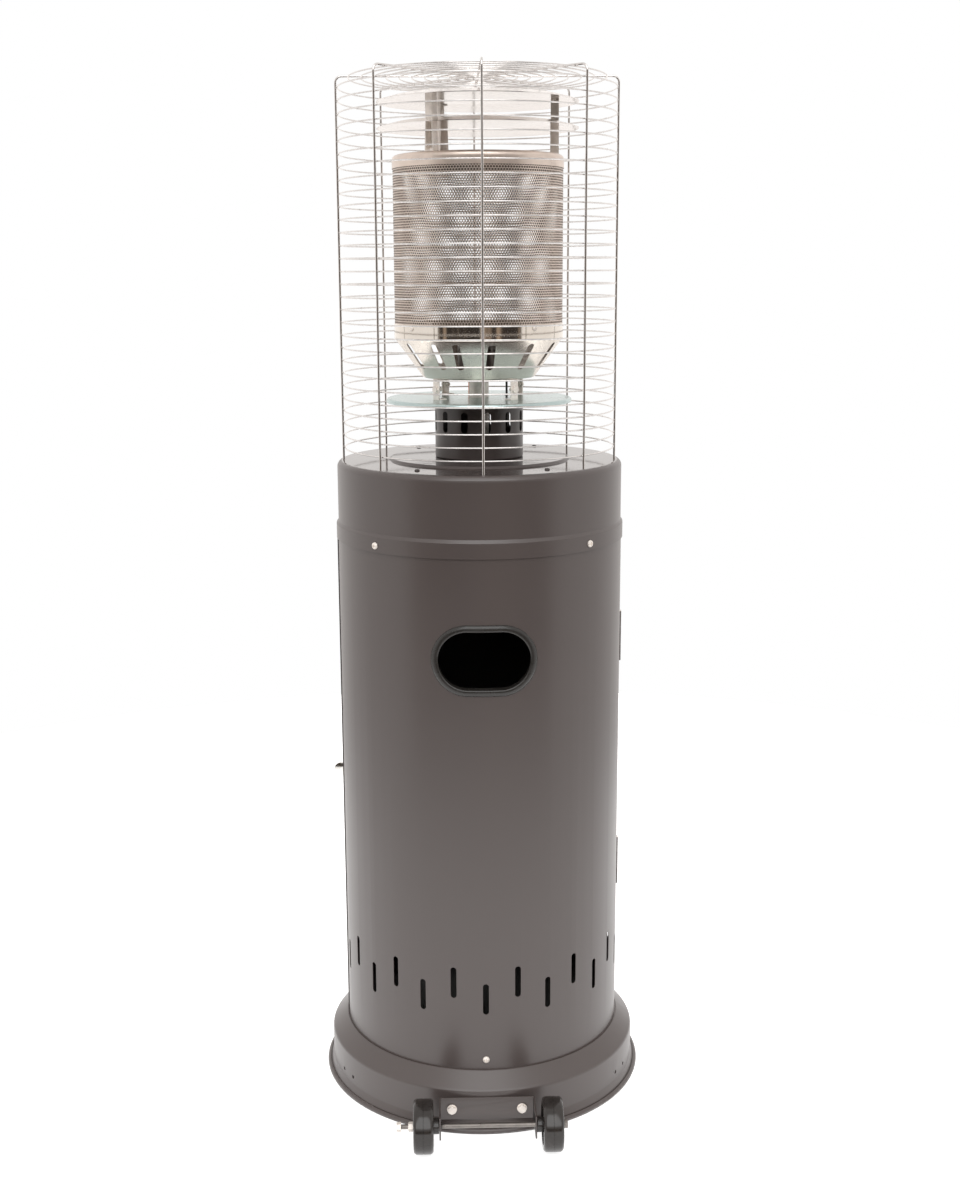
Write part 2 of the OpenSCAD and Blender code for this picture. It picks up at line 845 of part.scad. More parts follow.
module top_screws() {
    color(dark_paint) for (az = top_screw_az) at_az(az) translate([top_screw_r, 0, hood_top + seat])
        screw(fine_screw_r, screw_in, fine_head_r, fine_head_h);
}

module control_panel() {
    color(plastic) difference() {
        forward([0, panel_y - panel_depth, control_z]) {
            translate([-panel_w / 2, -panel_h / 2 + panel_corner_r, 0])
                cube([panel_w, panel_h - 2 * panel_corner_r, panel_depth]);
            translate([-panel_w / 2 + panel_corner_r, -panel_h / 2, 0])
                cube([panel_w - 2 * panel_corner_r, panel_h, panel_depth]);
            for (x = [-1, 1], z = [-1, 1])
                translate([x * (panel_w / 2 - panel_corner_r), z * (panel_h / 2 - panel_corner_r), 0])
                    cylinder(r = panel_corner_r, h = panel_depth);
        }
        translate([0, 0, hood_z]) cylinder(r = hood_r + seat, h = hood_h);
        forward([0, hood_r - over, control_z]) cylinder(r = control_hole_r, h = 3 * over);
        forward([igniter_x, hood_r - 4 * over, control_z]) cylinder(r = igniter_r + run, h = 6 * over);
    }
}

module control_knob() {
    back_y = panel_y + knob_gap;
    color(plastic) difference() {
        union() {
            forward([0, back_y, control_z]) cylinder(r = knob_r, h = knob_skirt_h);
            intersection() {
                forward([0, back_y, control_z]) cylinder(r = knob_body_r, h = knob_h);
                translate([-knob_flat, back_y, control_z - knob_r]) cube([2 * knob_flat, knob_h, 2 * knob_r]);
            }
        }
        forward([0, back_y - 1, control_z]) cylinder(r = stem_r + run, h = knob_bore_h + 1);
    }
}

module valve_stem() {
    color(steel) forward([0, stem_back_y, control_z])
        cylinder(r = stem_r, h = panel_y + knob_gap + knob_bore_h - seat - stem_back_y);
}

module igniter_button() {
    color(plastic) forward([igniter_x, button_back_y, control_z])
        cylinder(r = button_r, h = panel_y + igniter_flange_h + button_out - button_back_y);
}

module igniter_body() {
    bore_y = button_back_y - button_travel - 1;
    color(plastic) difference() {
        union() {
            forward([igniter_x, igniter_back_y, control_z])
                cylinder(r = igniter_r, h = panel_y + igniter_flange_h - igniter_back_y);
            forward([igniter_x, panel_y + seat, control_z])
                cylinder(r = igniter_flange_r, h = igniter_flange_h - seat);
        }
        forward([igniter_x, bore_y, control_z])
            cylinder(r = button_r + run, h = panel_y + 2 * igniter_flange_h - bore_y);
    }
}

module valve_bracket() {
    top = hood_top - hood_t;
    color(zinc) difference() {
        union() {
            translate([-plate_w / 2, plate_y, control_z - plate_drop])
                cube([plate_w, plate_t, top - control_z + plate_drop]);
            translate([-plate_w / 2, plate_y + plate_t - plate_flange, top - plate_t])
                cube([plate_w, plate_flange, plate_t]);
        }
        forward([0, plate_y - 1, control_z]) cylinder(r = boss_r + seat, h = plate_t + 2);
        forward([igniter_x, plate_y - 1, control_z]) cylinder(r = igniter_r + run, h = plate_t + 2);
    }
}

module valve_body() {
    color(brass) difference() {
        union() {
            translate([-valve_size[0] / 2, valve_back_y, control_z - valve_size[2] / 2]) cube(valve_size);
            forward([0, plate_y - 1, control_z]) cylinder(r = boss_r, h = boss_h + 1);
        }
        forward([0, stem_back_y - stem_travel - 1, control_z])
            cylinder(r = stem_r + run, h = stem_in + stem_travel + boss_h + 2);
    }
}

module inlet_nozzle() {
    color(brass) translate([0, inlet_y, inlet_z]) {
        cylinder(r = inlet_hex_r, h = inlet_hex_h, $fn = 6);
        translate([0, 0, -tail_h]) cylinder(r = tail_r, h = tail_h);
    }
}

module tilt_switch() {
    corner = [-plate_w / 2 + tilt_in, plate_y - tilt_size[1], control_z - plate_drop + tilt_in];
    color(plastic) translate(corner) cube(tilt_size);
}

// Gas train and burner

module supply_tube() {
    color(copper) riser_pipe([0, 0], valve_back_y, pipe_z, injector_z, pipe_r, pipe_bend);
}

module injector() {
    inner_r = venturi_r - venturi_t - run;
    color(brass) translate([0, 0, injector_z]) difference() {
        union() {
            cylinder(r = injector_hex_r, h = injector_h - spigot_h, $fn = 6);
            cylinder(r = inner_r, h = injector_h);
        }
        translate([0, 0, injector_floor]) cylinder(r = jet_r, h = injector_h);
    }
}

module venturi_tube() {
    h = venturi_top - venturi_z;
    color(zinc) translate([0, 0, venturi_z]) difference() {
        tube(venturi_r, venturi_r - venturi_t, h);
        for (a = [0, 90]) rotate([0, 90, a]) translate([-spigot_h - 2 * air_hole_r, 0, -venturi_r - 1])
            cylinder(r = air_hole_r, h = 2 * venturi_r + 2);
    }
}

module pilot_tube() {
    color(copper) riser_pipe(pilot_xy, valve_back_y, pilot_z, venturi_top, pilot_r, wire_bend);
}

module pilot_burner() {
    color(brass) translate([pilot_xy[0], pilot_xy[1], venturi_top]) {
        cylinder(r = pilot_hex_r, h = pilot_hex_h, $fn = 6);
        cylinder(r = pilot_burner_r, h = pilot_h);
    }
}

module thermocouple() {
    color(copper) riser_pipe(couple_xy, valve_back_y, couple_z, venturi_top + couple_h, couple_r, wire_bend);
}

module ignition_lead() {
    color(plastic) riser_pipe([igniter_x, lead_y], igniter_back_y, control_z, electrode_z, lead_r, wire_bend);
}

module ignition_electrode() {
    color(ceramic) translate([igniter_x, lead_y, electrode_z]) {
        cylinder(r = electrode_r, h = electrode_h);
        cylinder(r = electrode_tip_r, h = electrode_h + electrode_tip_h);
    }
}

module burner_head() {
    bottom = venturi_top - burner_t - venturi_past;
    color(steel) translate([0, 0, bottom]) difference() {
        cylinder(r = burner_r, h = burner_h);
        translate([0, 0, burner_t]) cylinder(r = burner_r - burner_t, h = burner_h - 2 * burner_t);
        translate([0, 0, -1]) cylinder(r = venturi_r + seat, h = burner_t + 2);
        for (i = [0:port_count - 1]) rotate([0, 90, 360 / port_count * i])
            translate([-burner_h + 3 * port_r + burner_t, 0, venturi_r]) cylinder(r = port_r, h = burner_r);
    }
}

module burner_neck() {
    slot_mid_z = plinth_top + neck_slot_z + neck_slot_h / 2;
    color(dark_paint) difference() {
        spun_sheet([
            [neck_r - neck_flange, plinth_top, 0],
            [neck_r, plinth_top, neck_t + 0.6],
            [neck_r, neck_top, 0]
        ], neck_t);
        for (i = [0:neck_slots - 1])
            outward(neck_slot_az + 360 / neck_slots * i, neck_r - over, slot_mid_z)
                obround(neck_slot_h, neck_slot_w, 2 * over);
    }
}

// Holes for the wires and pipe that rise past the shield and the bowl's floor
module riser_holes(z) {
    for (place = [[pilot_xy, pilot_r], [couple_xy, couple_r], [[igniter_x, lead_y], electrode_r]])
        translate([place[0][0], place[0][1], z - over]) cylinder(r = place[1] + seat, h = 2 * over);
}

module heat_shield() {
    color(pale_tint) difference() {
        spun_sheet([
            [shield_r, shield_top - shield_rim, 0],
            [shield_r, shield_top, shield_edge_r],
            [venturi_r + seat, shield_top, 0]
        ], shield_t);
        riser_holes(neck_top);
    }
}

module shield_brackets() {
    color(zinc) for (az = bracket_az) at_az(az) difference() {
        translate([stand_r - stand_foot, -stand_w / 2, shield_top]) {
            cube([stand_foot, stand_w, stand_t]);
            translate([stand_foot - stand_t, 0, 0]) cube([stand_t, stand_w, stand_h]);
            translate([0, 0, stand_h - stand_t]) cube([stand_foot, stand_w, stand_t]);
        }
        translate([stand_r - stand_t - 1, 0, shield_top + stand_h / 2]) rotate([0, 90, 0])
            cylinder(r = screw_r + run, h = stand_t + 2);
    }
}

module shield_screws() {
    color(zinc) for (az = bracket_az) {
        outward(az, stand_r + seat, shield_top + stand_h / 2) {
            cylinder(r = screw_head_r, h = screw_head_h, $fn = 6);
            translate([0, 0, -screw_in]) cylinder(r = screw_r, h = screw_in);
        }
        outward(az, stand_r - stand_t - seat - screw_head_h, shield_top + stand_h / 2)
            hex_nut(screw_head_r, screw_r + run, screw_head_h);
    }
}

module burner_bowl() {
    flare = bowl_r - bowl_floor_r;
    slope = atan2(flare, cone_h);
    color(bright) difference() {
        spun_sheet([
            [venturi_r + seat, bowl_z, 0],
            [bowl_floor_r, bowl_z, bowl_fillet],
            [bowl_r, band_z, bowl_fillet],
            [bowl_r, bowl_top, 0]
        ], bowl_t);
        for (az = cone_slot_az, turn = [0, 180])
            outward(az + turn, bowl_floor_r + cone_slot_at * flare, bowl_z + cone_slot_at * cone_h)
                rotate([0, slope, 0]) translate([0, 0, -over]) obround(cone_slot_h, cone_slot_w, 2 * over);
        for (az = bracket_az) outward(az, bowl_r - over, bowl_screw_z)
            cylinder(r = fine_screw_r + run, h = 2 * over);
        riser_holes(bowl_z);
    }
}

module bowl_screws() {
    color(zinc) for (az = bracket_az) outward(az, bowl_r + seat, bowl_screw_z)
        screw(fine_screw_r, screw_in, fine_head_r, fine_head_h);
}

module emitter_screen() {
    color(steel) difference() {
        translate([0, 0, screen_z]) tube(screen_r, screen_r - screen_t, cap_top - cap_edge_r - screen_z);
        for (az = bracket_az) outward(az, screen_r - over, bowl_screw_z)
            cylinder(r = fine_screw_r + run, h = 2 * over);
    }
}

// Screw holes of the trestles and posts in the sheet at z
module post_holes(z) {
    for (az = post_az) at_az(az) translate([post_hole_r, 0, z - over])
        cylinder(r = fine_screw_r + run, h = 2 * over);
}

module emitter_cap() {
    color(steel) difference() {
        spun_sheet([
            [bowl_r, cap_top - cap_skirt, 0],
            [bowl_r, cap_top, cap_edge_r],
            [0, cap_top, 0]
        ], cap_t);
        post_holes(cap_top);
    }
}

// Reflectors

// A flat tab of a trestle or post, w wide, with its outer edge on the circle of posts
module post_tab(d, w, z) {
    translate([post_circle_r - d, -w / 2, z]) cube([d, w, post_t]);
}

// A sheet cut to an outline of [across, up] points that stands on the cap, t deep and r from the axis
module upright_sheet(outline, t, r) {
    translate([r, 0, cap_top]) rotate([90, 0, 90]) linear_extrude(height = t) polygon(outline);
}

module reflector_trestles() {
    foot = trestle_w / 2 + trestle_splay;
    head = trestle_w / 2;
    color(zinc) difference() {
        for (az = post_az) at_az(az) {
            upright_sheet([[-foot, 0], [foot, 0], [head, lower_rise], [-head, lower_rise]],
                post_t, post_circle_r - trestle_d);
            for (side = [-1, 1])
                upright_sheet([[side * foot, 0], [side * (foot - post_t), 0],
                    [side * (head - post_t), lower_rise], [side * head, lower_rise]],
                    trestle_d, post_circle_r - trestle_d);
            post_tab(trestle_d, trestle_w, cap_top);
            post_tab(trestle_d, trestle_w, lower_z - post_t);
        }
        post_holes(cap_top);
        post_holes(lower_z);
    }
}

module reflector_posts() {
    foot_z = lower_z + reflector_t;
    color(zinc) difference() {
        for (az = post_az) at_az(az) {
            translate([post_circle_r - post_t, -post_leg / 2, foot_z]) cube([post_t, post_leg, upper_z - foot_z]);
            translate([post_circle_r - post_leg, post_leg / 2 - post_t, foot_z])
                cube([post_leg, post_t, upper_z - foot_z]);
            post_tab(post_leg, post_leg, foot_z);
            post_tab(post_leg, post_leg, upper_z - post_t);
        }
        post_holes(lower_z);
        post_holes(upper_z);
    }
}

// A reflector whose underside lies at z, with its rim turned down
module reflector(z) {
    spun_sheet([
        [0, z, 0],
        [reflector_r - reflector_slope, z, 2 * edge_fillet],
        [reflector_r, z - reflector_drop, 0]
    ], reflector_t);
}

module reflector_lower() {
    color(bright) difference() {
        reflector(lower_z);
        post_holes(lower_z);
    }
}

module reflector_upper() {
    color(bright) difference() {
        reflector(upper_z);
        post_holes(upper_z);
    }
}

module reflector_screws() {
    heads_z = [cap_top + post_t, lower_z + reflector_t + post_t, upper_z + reflector_t];
    color(zinc) for (az = post_az) at_az(az) {
        for (z = heads_z) translate([post_hole_r, 0, z + seat])
            screw(fine_screw_r, fine_screw_in + post_t, fine_head_r, fine_head_h);
        translate([post_hole_r, 0, lower_z - post_t - seat - fine_head_h])
            hex_nut(fine_head_r, fine_screw_r + run, fine_head_h);
    }
}

// Guard

module guard_uprights() {
    color(zinc) for (i = [0:upright_count - 1]) at_az(360 / upright_count * i) {
        translate([guard_r, 0, hood_top]) cylinder(r = upright_r, h = guard_z - guard_bend_r - hood_top);
        translate([guard_r - guard_bend_r, 0, guard_z - guard_bend_r]) rotate([90, 0, 0])
            rotate_extrude(angle = 90) translate([guard_bend_r, 0]) circle(r = upright_r);
        translate([spoke_in_r, 0, guard_z]) rotate([0, 90, 0])
            cylinder(r = upright_r, h = guard_r - guard_bend_r - spoke_in_r);
    }
}

// A ring of wire
module wire_ring(r, z) {
    translate([0, 0, z]) rotate_extrude() translate([r, 0]) circle(r = ring_r);
}

// The guard's rings from one number to another, counted from the lowest
module ring_stack(first, last) {
    color(zinc) for (i = [first:last]) wire_ring(ring_circle_r, ring_first_z + ring_pitch * i);
}

module guard_rings_lower() {
    ring_stack(0, ring_split - 1);
}

module guard_rings_upper() {
    ring_stack(ring_split, ring_count - 1);
}

module guard_top() {
    color(zinc) {
        for (i = [1:top_ring_count]) wire_ring(guard_r - ring_pitch * i, top_ring_z);
        translate([0, 0, guard_z - upright_r - seat - guard_hub_t])
            cylinder(r = guard_hub_r, h = guard_hub_t);
    }
}

base_pan();
wheel_bracket();
bracket_bolts();
wheel_axle();
axle_nuts();
wheel_left();
wheel_right();
rear_shell();
front_rail();
grip_bezel();
base_screw();
hinge_fixed_leaves();
hinge_pins();
hinge_door_leaves();
door_panel();
latch_housing();
latch_knob();
latch_cam();
latch_strike();
hood();
hood_screws();
top_screws();
control_panel();
control_knob();
valve_stem();
igniter_button();
igniter_body();
valve_bracket();
valve_body();
inlet_nozzle();
tilt_switch();
supply_tube();
injector();
venturi_tube();
pilot_tube();
pilot_burner();
thermocouple();
ignition_lead();
ignition_electrode();
burner_head();
burner_neck();
heat_shield();
shield_brackets();
shield_screws();
burner_bowl();
bowl_screws();
emitter_screen();
emitter_cap();
reflector_trestles();
reflector_posts();
reflector_lower();
reflector_upper();
reflector_screws();
guard_uprights();
guard_rings_lower();
guard_rings_upper();
guard_top();
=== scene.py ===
"""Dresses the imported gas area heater.

Gives it its finishes and its turned, moulded and punched detail, and sets up the studio and the camera.
"""

import logging
import math
from dataclasses import dataclass
from enum import Enum
from typing import Any, Sequence

import bpy
from mathutils import Matrix, Quaternion


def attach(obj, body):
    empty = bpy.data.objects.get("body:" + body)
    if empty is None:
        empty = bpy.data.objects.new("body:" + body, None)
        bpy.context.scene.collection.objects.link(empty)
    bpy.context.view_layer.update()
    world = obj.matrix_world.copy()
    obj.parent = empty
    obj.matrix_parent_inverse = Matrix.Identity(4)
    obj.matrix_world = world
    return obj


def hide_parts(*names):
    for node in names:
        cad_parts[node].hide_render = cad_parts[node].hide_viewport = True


logging.basicConfig(level=logging.INFO, format="%(name)s: %(message)s")
LOG = logging.getLogger("heater")

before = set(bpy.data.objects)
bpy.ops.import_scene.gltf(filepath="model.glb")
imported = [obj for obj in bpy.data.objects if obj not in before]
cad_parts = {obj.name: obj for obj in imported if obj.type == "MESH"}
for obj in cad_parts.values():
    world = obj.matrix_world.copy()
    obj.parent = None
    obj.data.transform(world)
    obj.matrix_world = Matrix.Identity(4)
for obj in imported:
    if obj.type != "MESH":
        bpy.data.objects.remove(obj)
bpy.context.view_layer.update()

MM = 0.001
MERGE = 0.002 * MM
ROOT = "frame"
Pair = tuple[float, float]
Point = tuple[float, float, float]
Colour = tuple[float, float, float]
WHITE = (1.0, 1.0, 1.0)


# Colours

def linear(red: int, green: int, blue: int) -> Colour:
    """A screen colour from 0 to 255 as a linear colour."""
    return tuple(((c / 255 + 0.055) / 1.055) ** 2.4 if c > 10 else c / 255 / 12.92
                 for c in (red, green, blue))


def toned(colour: Colour, share: float) -> Colour:
    """A colour made lighter or darker by a share."""
    return tuple(c * share for c in colour)


# Shader maths

class Value:
    """A shader value, whose arithmetic adds Math nodes to its net."""

    def __init__(self, net: "Net", socket: bpy.types.NodeSocket) -> None:
        """Keeps the socket and the net that it belongs to."""
        self.net = net
        self.socket = socket

    def _math(self, operation: str, left: Any, right: Any) -> "Value":
        """Adds one Math node.

        Args:
            operation: The Math node's operation.
            left: Its first value or number.
            right: Its second value or number.

        Returns:
            The node's result.
        """
        return self.net.node("ShaderNodeMath", {"operation": operation}, {0: left, 1: right})

    def __add__(self, other: Any) -> "Value":
        """The sum with another value."""
        return self._math("ADD", self, other)

    def __radd__(self, other: Any) -> "Value":
        """The sum with a number before it."""
        return self._math("ADD", other, self)

    def __sub__(self, other: Any) -> "Value":
        """The difference from another value."""
        return self._math("SUBTRACT", self, other)

    def __rsub__(self, other: Any) -> "Value":
        """A number less this value."""
        return self._math("SUBTRACT", other, self)

    def __mul__(self, other: Any) -> "Value":
        """The product with another value."""
        return self._math("MULTIPLY", self, other)

    def __rmul__(self, other: Any) -> "Value":
        """The product with a number before it."""
        return self._math("MULTIPLY", other, self)

    def __truediv__(self, other: Any) -> "Value":
        """The quotient by another value."""
        return self._math("DIVIDE", self, other)

    def __pow__(self, other: Any) -> "Value":
        """This value raised to a power."""
        return self._math("POWER", self, other)

    def __lt__(self, other: Any) -> "Value":
        """One where this value is the smaller."""
        return self._math("LESS_THAN", self, other)

    def __gt__(self, other: Any) -> "Value":
        """One where this value is the larger."""
        return self._math("GREATER_THAN", self, other)

    def larger(self, other: Any) -> "Value":
        """The larger of two values."""
        return self._math("MAXIMUM", self, other)

    def size(self) -> "Value":
        """The value without its sign."""
        return self._math("ABSOLUTE", self, 0.0)

    def reach(self, other: "Value") -> "Value":
        """The length of this value and another at a right angle to it."""
        return (self * self + other * other) ** 0.5

    def ramp(self, low: float, high: float) -> "Value":
        """Runs smoothly from 0 to 1 between two values.

        Args:
            low: The value that gives 0.
            high: The value that gives 1.

        Returns:
            The smoothed share.
        """
        return self.net.node("ShaderNodeMapRange", {"interpolation_type": "SMOOTHSTEP"},
                             {"Value": self, "From Min": low, "From Max": high})


class Net:
    """The nodes of one material or of the world."""

    def __init__(self, tree: bpy.types.NodeTree) -> None:
        """Empties a node tree and keeps it."""
        self.tree = tree
        tree.nodes.clear()

    def node(self, kind: str, settings: dict[str, Any] | None = None,
             inputs: dict[str | int, Any] | None = None, output: str | int = 0) -> Value:
        """Adds a node.

        Args:
            kind: The node's type.
            settings: Its own settings, which are set first.
            inputs: The values or links of its sockets, by name or number.
            output: The output that is wanted.

        Returns:
            That output.
        """
        made = self.tree.nodes.new(kind)
        for name, value in (settings or {}).items():
            setattr(made, name, value)
        for name, value in (inputs or {}).items():
            socket = made.inputs[name]
            if isinstance(value, Value):
                self.tree.links.new(value.socket, socket)
            else:
                socket.default_value = value
        return Value(self, made.outputs[output] if made.outputs else None)

    def place(self) -> Value:
        """The point on the object, in metres."""
        return self.node("ShaderNodeTexCoord", output="Object")

    def ray(self, kind: str) -> Value:
        """One where the ray is of a kind, by the name of its socket."""
        return self.node("ShaderNodeLightPath", output=kind)

    def facing(self) -> Value:
        """The way that the face points, in the object's own directions."""
        return self.node("ShaderNodeVectorTransform",
                         {"vector_type": "NORMAL", "convert_from": "WORLD", "convert_to": "OBJECT"},
                         {"Vector": self.node("ShaderNodeNewGeometry", output="True Normal")})

    def parts(self, vector: Value) -> tuple[Value, Value, Value]:
        """The three parts of a vector."""
        outputs = self.node("ShaderNodeSeparateXYZ", None, {"Vector": vector}).socket.node.outputs
        return Value(self, outputs[0]), Value(self, outputs[1]), Value(self, outputs[2])

    def noise(self, vector: Value, scale: float, detail: float = 2.0, rough: float = 0.5) -> Value:
        """Smooth noise about 0.5.

        Args:
            vector: Where it is read.
            scale: Its waves in a metre.
            detail: Its finer layers.
            rough: How strong the finer layers are.

        Returns:
            The noise, from 0 to 1.
        """
        return self.node("ShaderNodeTexNoise", None,
                         {"Vector": vector, "Scale": scale, "Detail": detail, "Roughness": rough})

    def streaks(self, along: Value, scale: float, detail: float) -> Value:
        """Smooth noise along one value.

        Args:
            along: The value.
            scale: Its waves in a unit of that value.
            detail: Its finer layers.

        Returns:
            The noise, from 0 to 1.
        """
        return self.node("ShaderNodeTexNoise", {"noise_dimensions": "1D"},
                         {"W": along, "Scale": scale, "Detail": detail})

    def blend(self, share: Any, low: Any, high: Any) -> Value:
        """Mixes two colours.

        Args:
            share: The part of the second colour.
            low: The first colour.
            high: The second colour.

        Returns:
            The mixed colour.
        """
        ends = [value if isinstance(value, Value) else (*value, 1.0) for value in (low, high)]
        return self.node("ShaderNodeMix", {"data_type": "RGBA"}, {0: share, 6: ends[0], 7: ends[1]}, 2)

    def mottle(self, share: Value, colour: Colour, darker: float, lighter: float) -> Value:
        """Varies a colour's tone.

        Args:
            share: The part of the lighter tone.
            colour: The colour.
            darker: How much darker it gets.
            lighter: How much lighter it gets.

        Returns:
            The varied colour.
        """
        return self.blend(share, toned(colour, 1 - darker), toned(colour, 1 + lighter))

    def bump(self, height: Value, strength: float, distance: float) -> Value:
        """A normal tilted by a height.

        Args:
            height: The height, from 0 to 1.
            strength: How much of the tilt is used.
            distance: The height of 1, in millimetres.

        Returns:
            The normal.
        """
        return self.node("ShaderNodeBump", None,
                         {"Height": height, "Strength": strength, "Distance": distance * MM})


# Finishes

class Finish:
    """A finish that makes its material once and keeps it."""

    made: dict[str, bpy.types.Material] = {}

    def shade(self, net: Net) -> dict[str, Any]:
        """Sets out the finish's nodes.

        Args:
            net: The material's net.

        Returns:
            The shader's inputs, by socket name.
        """
        raise NotImplementedError

    def material(self, name: str) -> bpy.types.Material:
        """The finish's material.

        Args:
            name: The material's name.

        Returns:
            The material, made on first use.
        """
        if name not in Finish.made:
            made = bpy.data.materials.new(name)
            made.use_nodes = True
            net = Net(made.node_tree)
            shader = net.node("ShaderNodeBsdfPrincipled", None, self.shade(net))
            net.node("ShaderNodeOutputMaterial", None, {"Surface": shader})
            Finish.made[name] = made
        return Finish.made[name]


@dataclass(frozen=True)
class PowderCoat(Finish):
    """Baked powder paint: a soft shine over orange peel, smooth on level faces, with painted shade inside the
    shells.

    Attributes:
        colour: The paint's colour.
        gloss: Its roughness.
        level_gloss: Its roughness on level faces.
        shine: The strength of its reflection.
        peel: The strength of the orange peel.
        spread: How far the tone drifts over the surface.
        inside: The share of its tone kept as painted shade inside the shells.
        waves: The drifts, dimples of orange peel and grains in a metre.
        shell: The radii in metres between which the painted inside shade ends.
        hood: The heights in metres between which the painted inside shade ends.
    """

    colour: Colour
    gloss: float = 0.33
    level_gloss: float = 0.07
    shine: float = 0.7
    peel: float = 0.006
    spread: float = 0.05
    inside: float = 0.15
    waves: tuple[float, float, float] = (9.0, 620.0, 2600.0)
    shell: Pair = (0.188, 0.190)
    hood: Pair = (0.78, 0.80)

    def shade(self, net: Net) -> dict[str, Any]:
        """Sets out the finish's nodes.

        Args:
            net: The material's net.

        Returns:
            The shader's inputs, by socket name.
        """
        place = net.place()
        drifts, dimples, grains = self.waves
        drift = net.noise(place, drifts, 3.0)
        grain = net.noise(place, grains, 1.0)
        peel = net.noise(place, dimples, 2.0)
        across, along, up = net.parts(place)
        facing_x, facing_y, facing_z = net.parts(net.facing())
        # Painted shade mask: faces turned towards the axis, and all faces within the shell's radius below the
        # hood's top, count as inside.
        beyond = across.reach(along).ramp(*self.shell).larger(up.ramp(*self.hood))
        outside = (across * facing_x + along * facing_y).ramp(-0.06, -0.02) * beyond
        level = facing_z.ramp(0.96, 0.995) * outside
        tone = net.mottle(drift * 0.7 + grain * 0.3, self.colour, self.spread, self.spread)
        # Painted shade: the inside takes the paint's colour darkened to a small share of it.
        tone = net.blend(outside, toned(self.colour, self.inside), tone)
        rough = (drift * 0.08 + (self.gloss - 0.04)) * (1 - level) + level * self.level_gloss
        return {"Base Color": tone, "Roughness": rough, "Specular IOR Level": self.shine,
                "Normal": net.bump(peel, self.peel, 0.25)}


@dataclass(frozen=True)
class Moulding(Finish):
    """Moulded plastic with a fine spark-eroded grain.

    Attributes:
        colour: The plastic's colour.
        gloss: Its roughness.
        grain: The strength of the grain.
        scuff: How far rubbed places turn paler.
        waves: The rubbed places and grains in a metre.
    """

    colour: Colour
    gloss: float
    grain: float
    scuff: float = 0.25
    waves: Pair = (45.0, 1500.0)

    def shade(self, net: Net) -> dict[str, Any]:
        """Sets out the finish's nodes.

        Args:
            net: The material's net.

        Returns:
            The shader's inputs, by socket name.
        """
        place = net.place()
        rubs, grains = self.waves
        rub = net.noise(place, rubs, 4.0, 0.6).ramp(0.5, 0.75)
        grain = net.noise(place, grains, 2.0)
        tone = net.mottle(rub, self.colour, 0.0, self.scuff)
        return {"Base Color": tone, "Roughness": rub * 0.10 + (self.gloss - 0.03),
                "Normal": net.bump(grain, self.grain, 0.15)}


@dataclass(frozen=True)
class Plate(Finish):
    """Plated or bare metal with a faintly blotched surface.

    Attributes:
        colour: The metal's colour.
        gloss: Its roughness.
        blotch: How far its tone varies.
        blotches: The blotches in a metre.
        grains: The fine grains in a metre.
        metal: How far it shines as metal, the rest being chalky.
    """

    colour: Colour
    gloss: float
    blotch: float = 0.12
    blotches: float = 120.0
    grains: float = 1800.0
    metal: float = 1.0

    def shade(self, net: Net) -> dict[str, Any]:
        """Sets out the finish's nodes.

        Args:
            net: The material's net.

        Returns:
            The shader's inputs, by socket name.
        """
        place = net.place()
        cloud = net.noise(place, self.blotches, 4.0, 0.6)
        fine = net.noise(place, self.grains, 1.0)
        tone = net.mottle(cloud.ramp(0.3, 0.7), self.colour, self.blotch, self.blotch / 2)
        return {"Base Color": tone, "Metallic": self.metal, "Roughness": cloud * 0.14 + (self.gloss - 0.07),
                "Normal": net.bump(fine, 0.05, 0.05)}


@dataclass(frozen=True)
class Spun(Finish):
    """Bright sheet polished on the lathe, with faint rings about the axis.

    Attributes:
        colour: The metal's colour.
        gloss: Its roughness.
        lines: The strength of the polishing rings.
        tint: The colour that heat or oxide leaves in places.
        haze: How much of the surface takes that colour.
        satin: How much rougher the sheet is below a height, and that height in metres.
        waves: The polishing rings and hazy places in a metre.
    """

    colour: Colour
    gloss: float
    lines: float
    tint: Colour = (0.62, 0.52, 0.40)
    haze: float = 0.10
    satin: Pair = (0.0, 0.0)
    waves: Pair = (900.0, 22.0)

    def shade(self, net: Net) -> dict[str, Any]:
        """Sets out the finish's nodes.

        Args:
            net: The material's net.

        Returns:
            The shader's inputs, by socket name.
        """
        place = net.place()
        ring_waves, haze_waves = self.waves
        across, along, up = net.parts(place)
        rings = net.streaks(across.reach(along) + up, ring_waves, 3.0)
        cloud = net.noise(place, haze_waves, 3.0, 0.55)
        tone = net.blend(cloud.ramp(0.35, 0.75) * self.haze, self.colour, self.tint)
        more, height = self.satin
        rough = rings * 0.05 + cloud * 0.05 + (self.gloss - 0.05)
        rough = rough + (1 - up.ramp(height - 0.004, height)) * more
        return {"Base Color": tone, "Metallic": 1.0, "Roughness": rough,
                "Normal": net.bump(rings, self.lines, 0.05)}


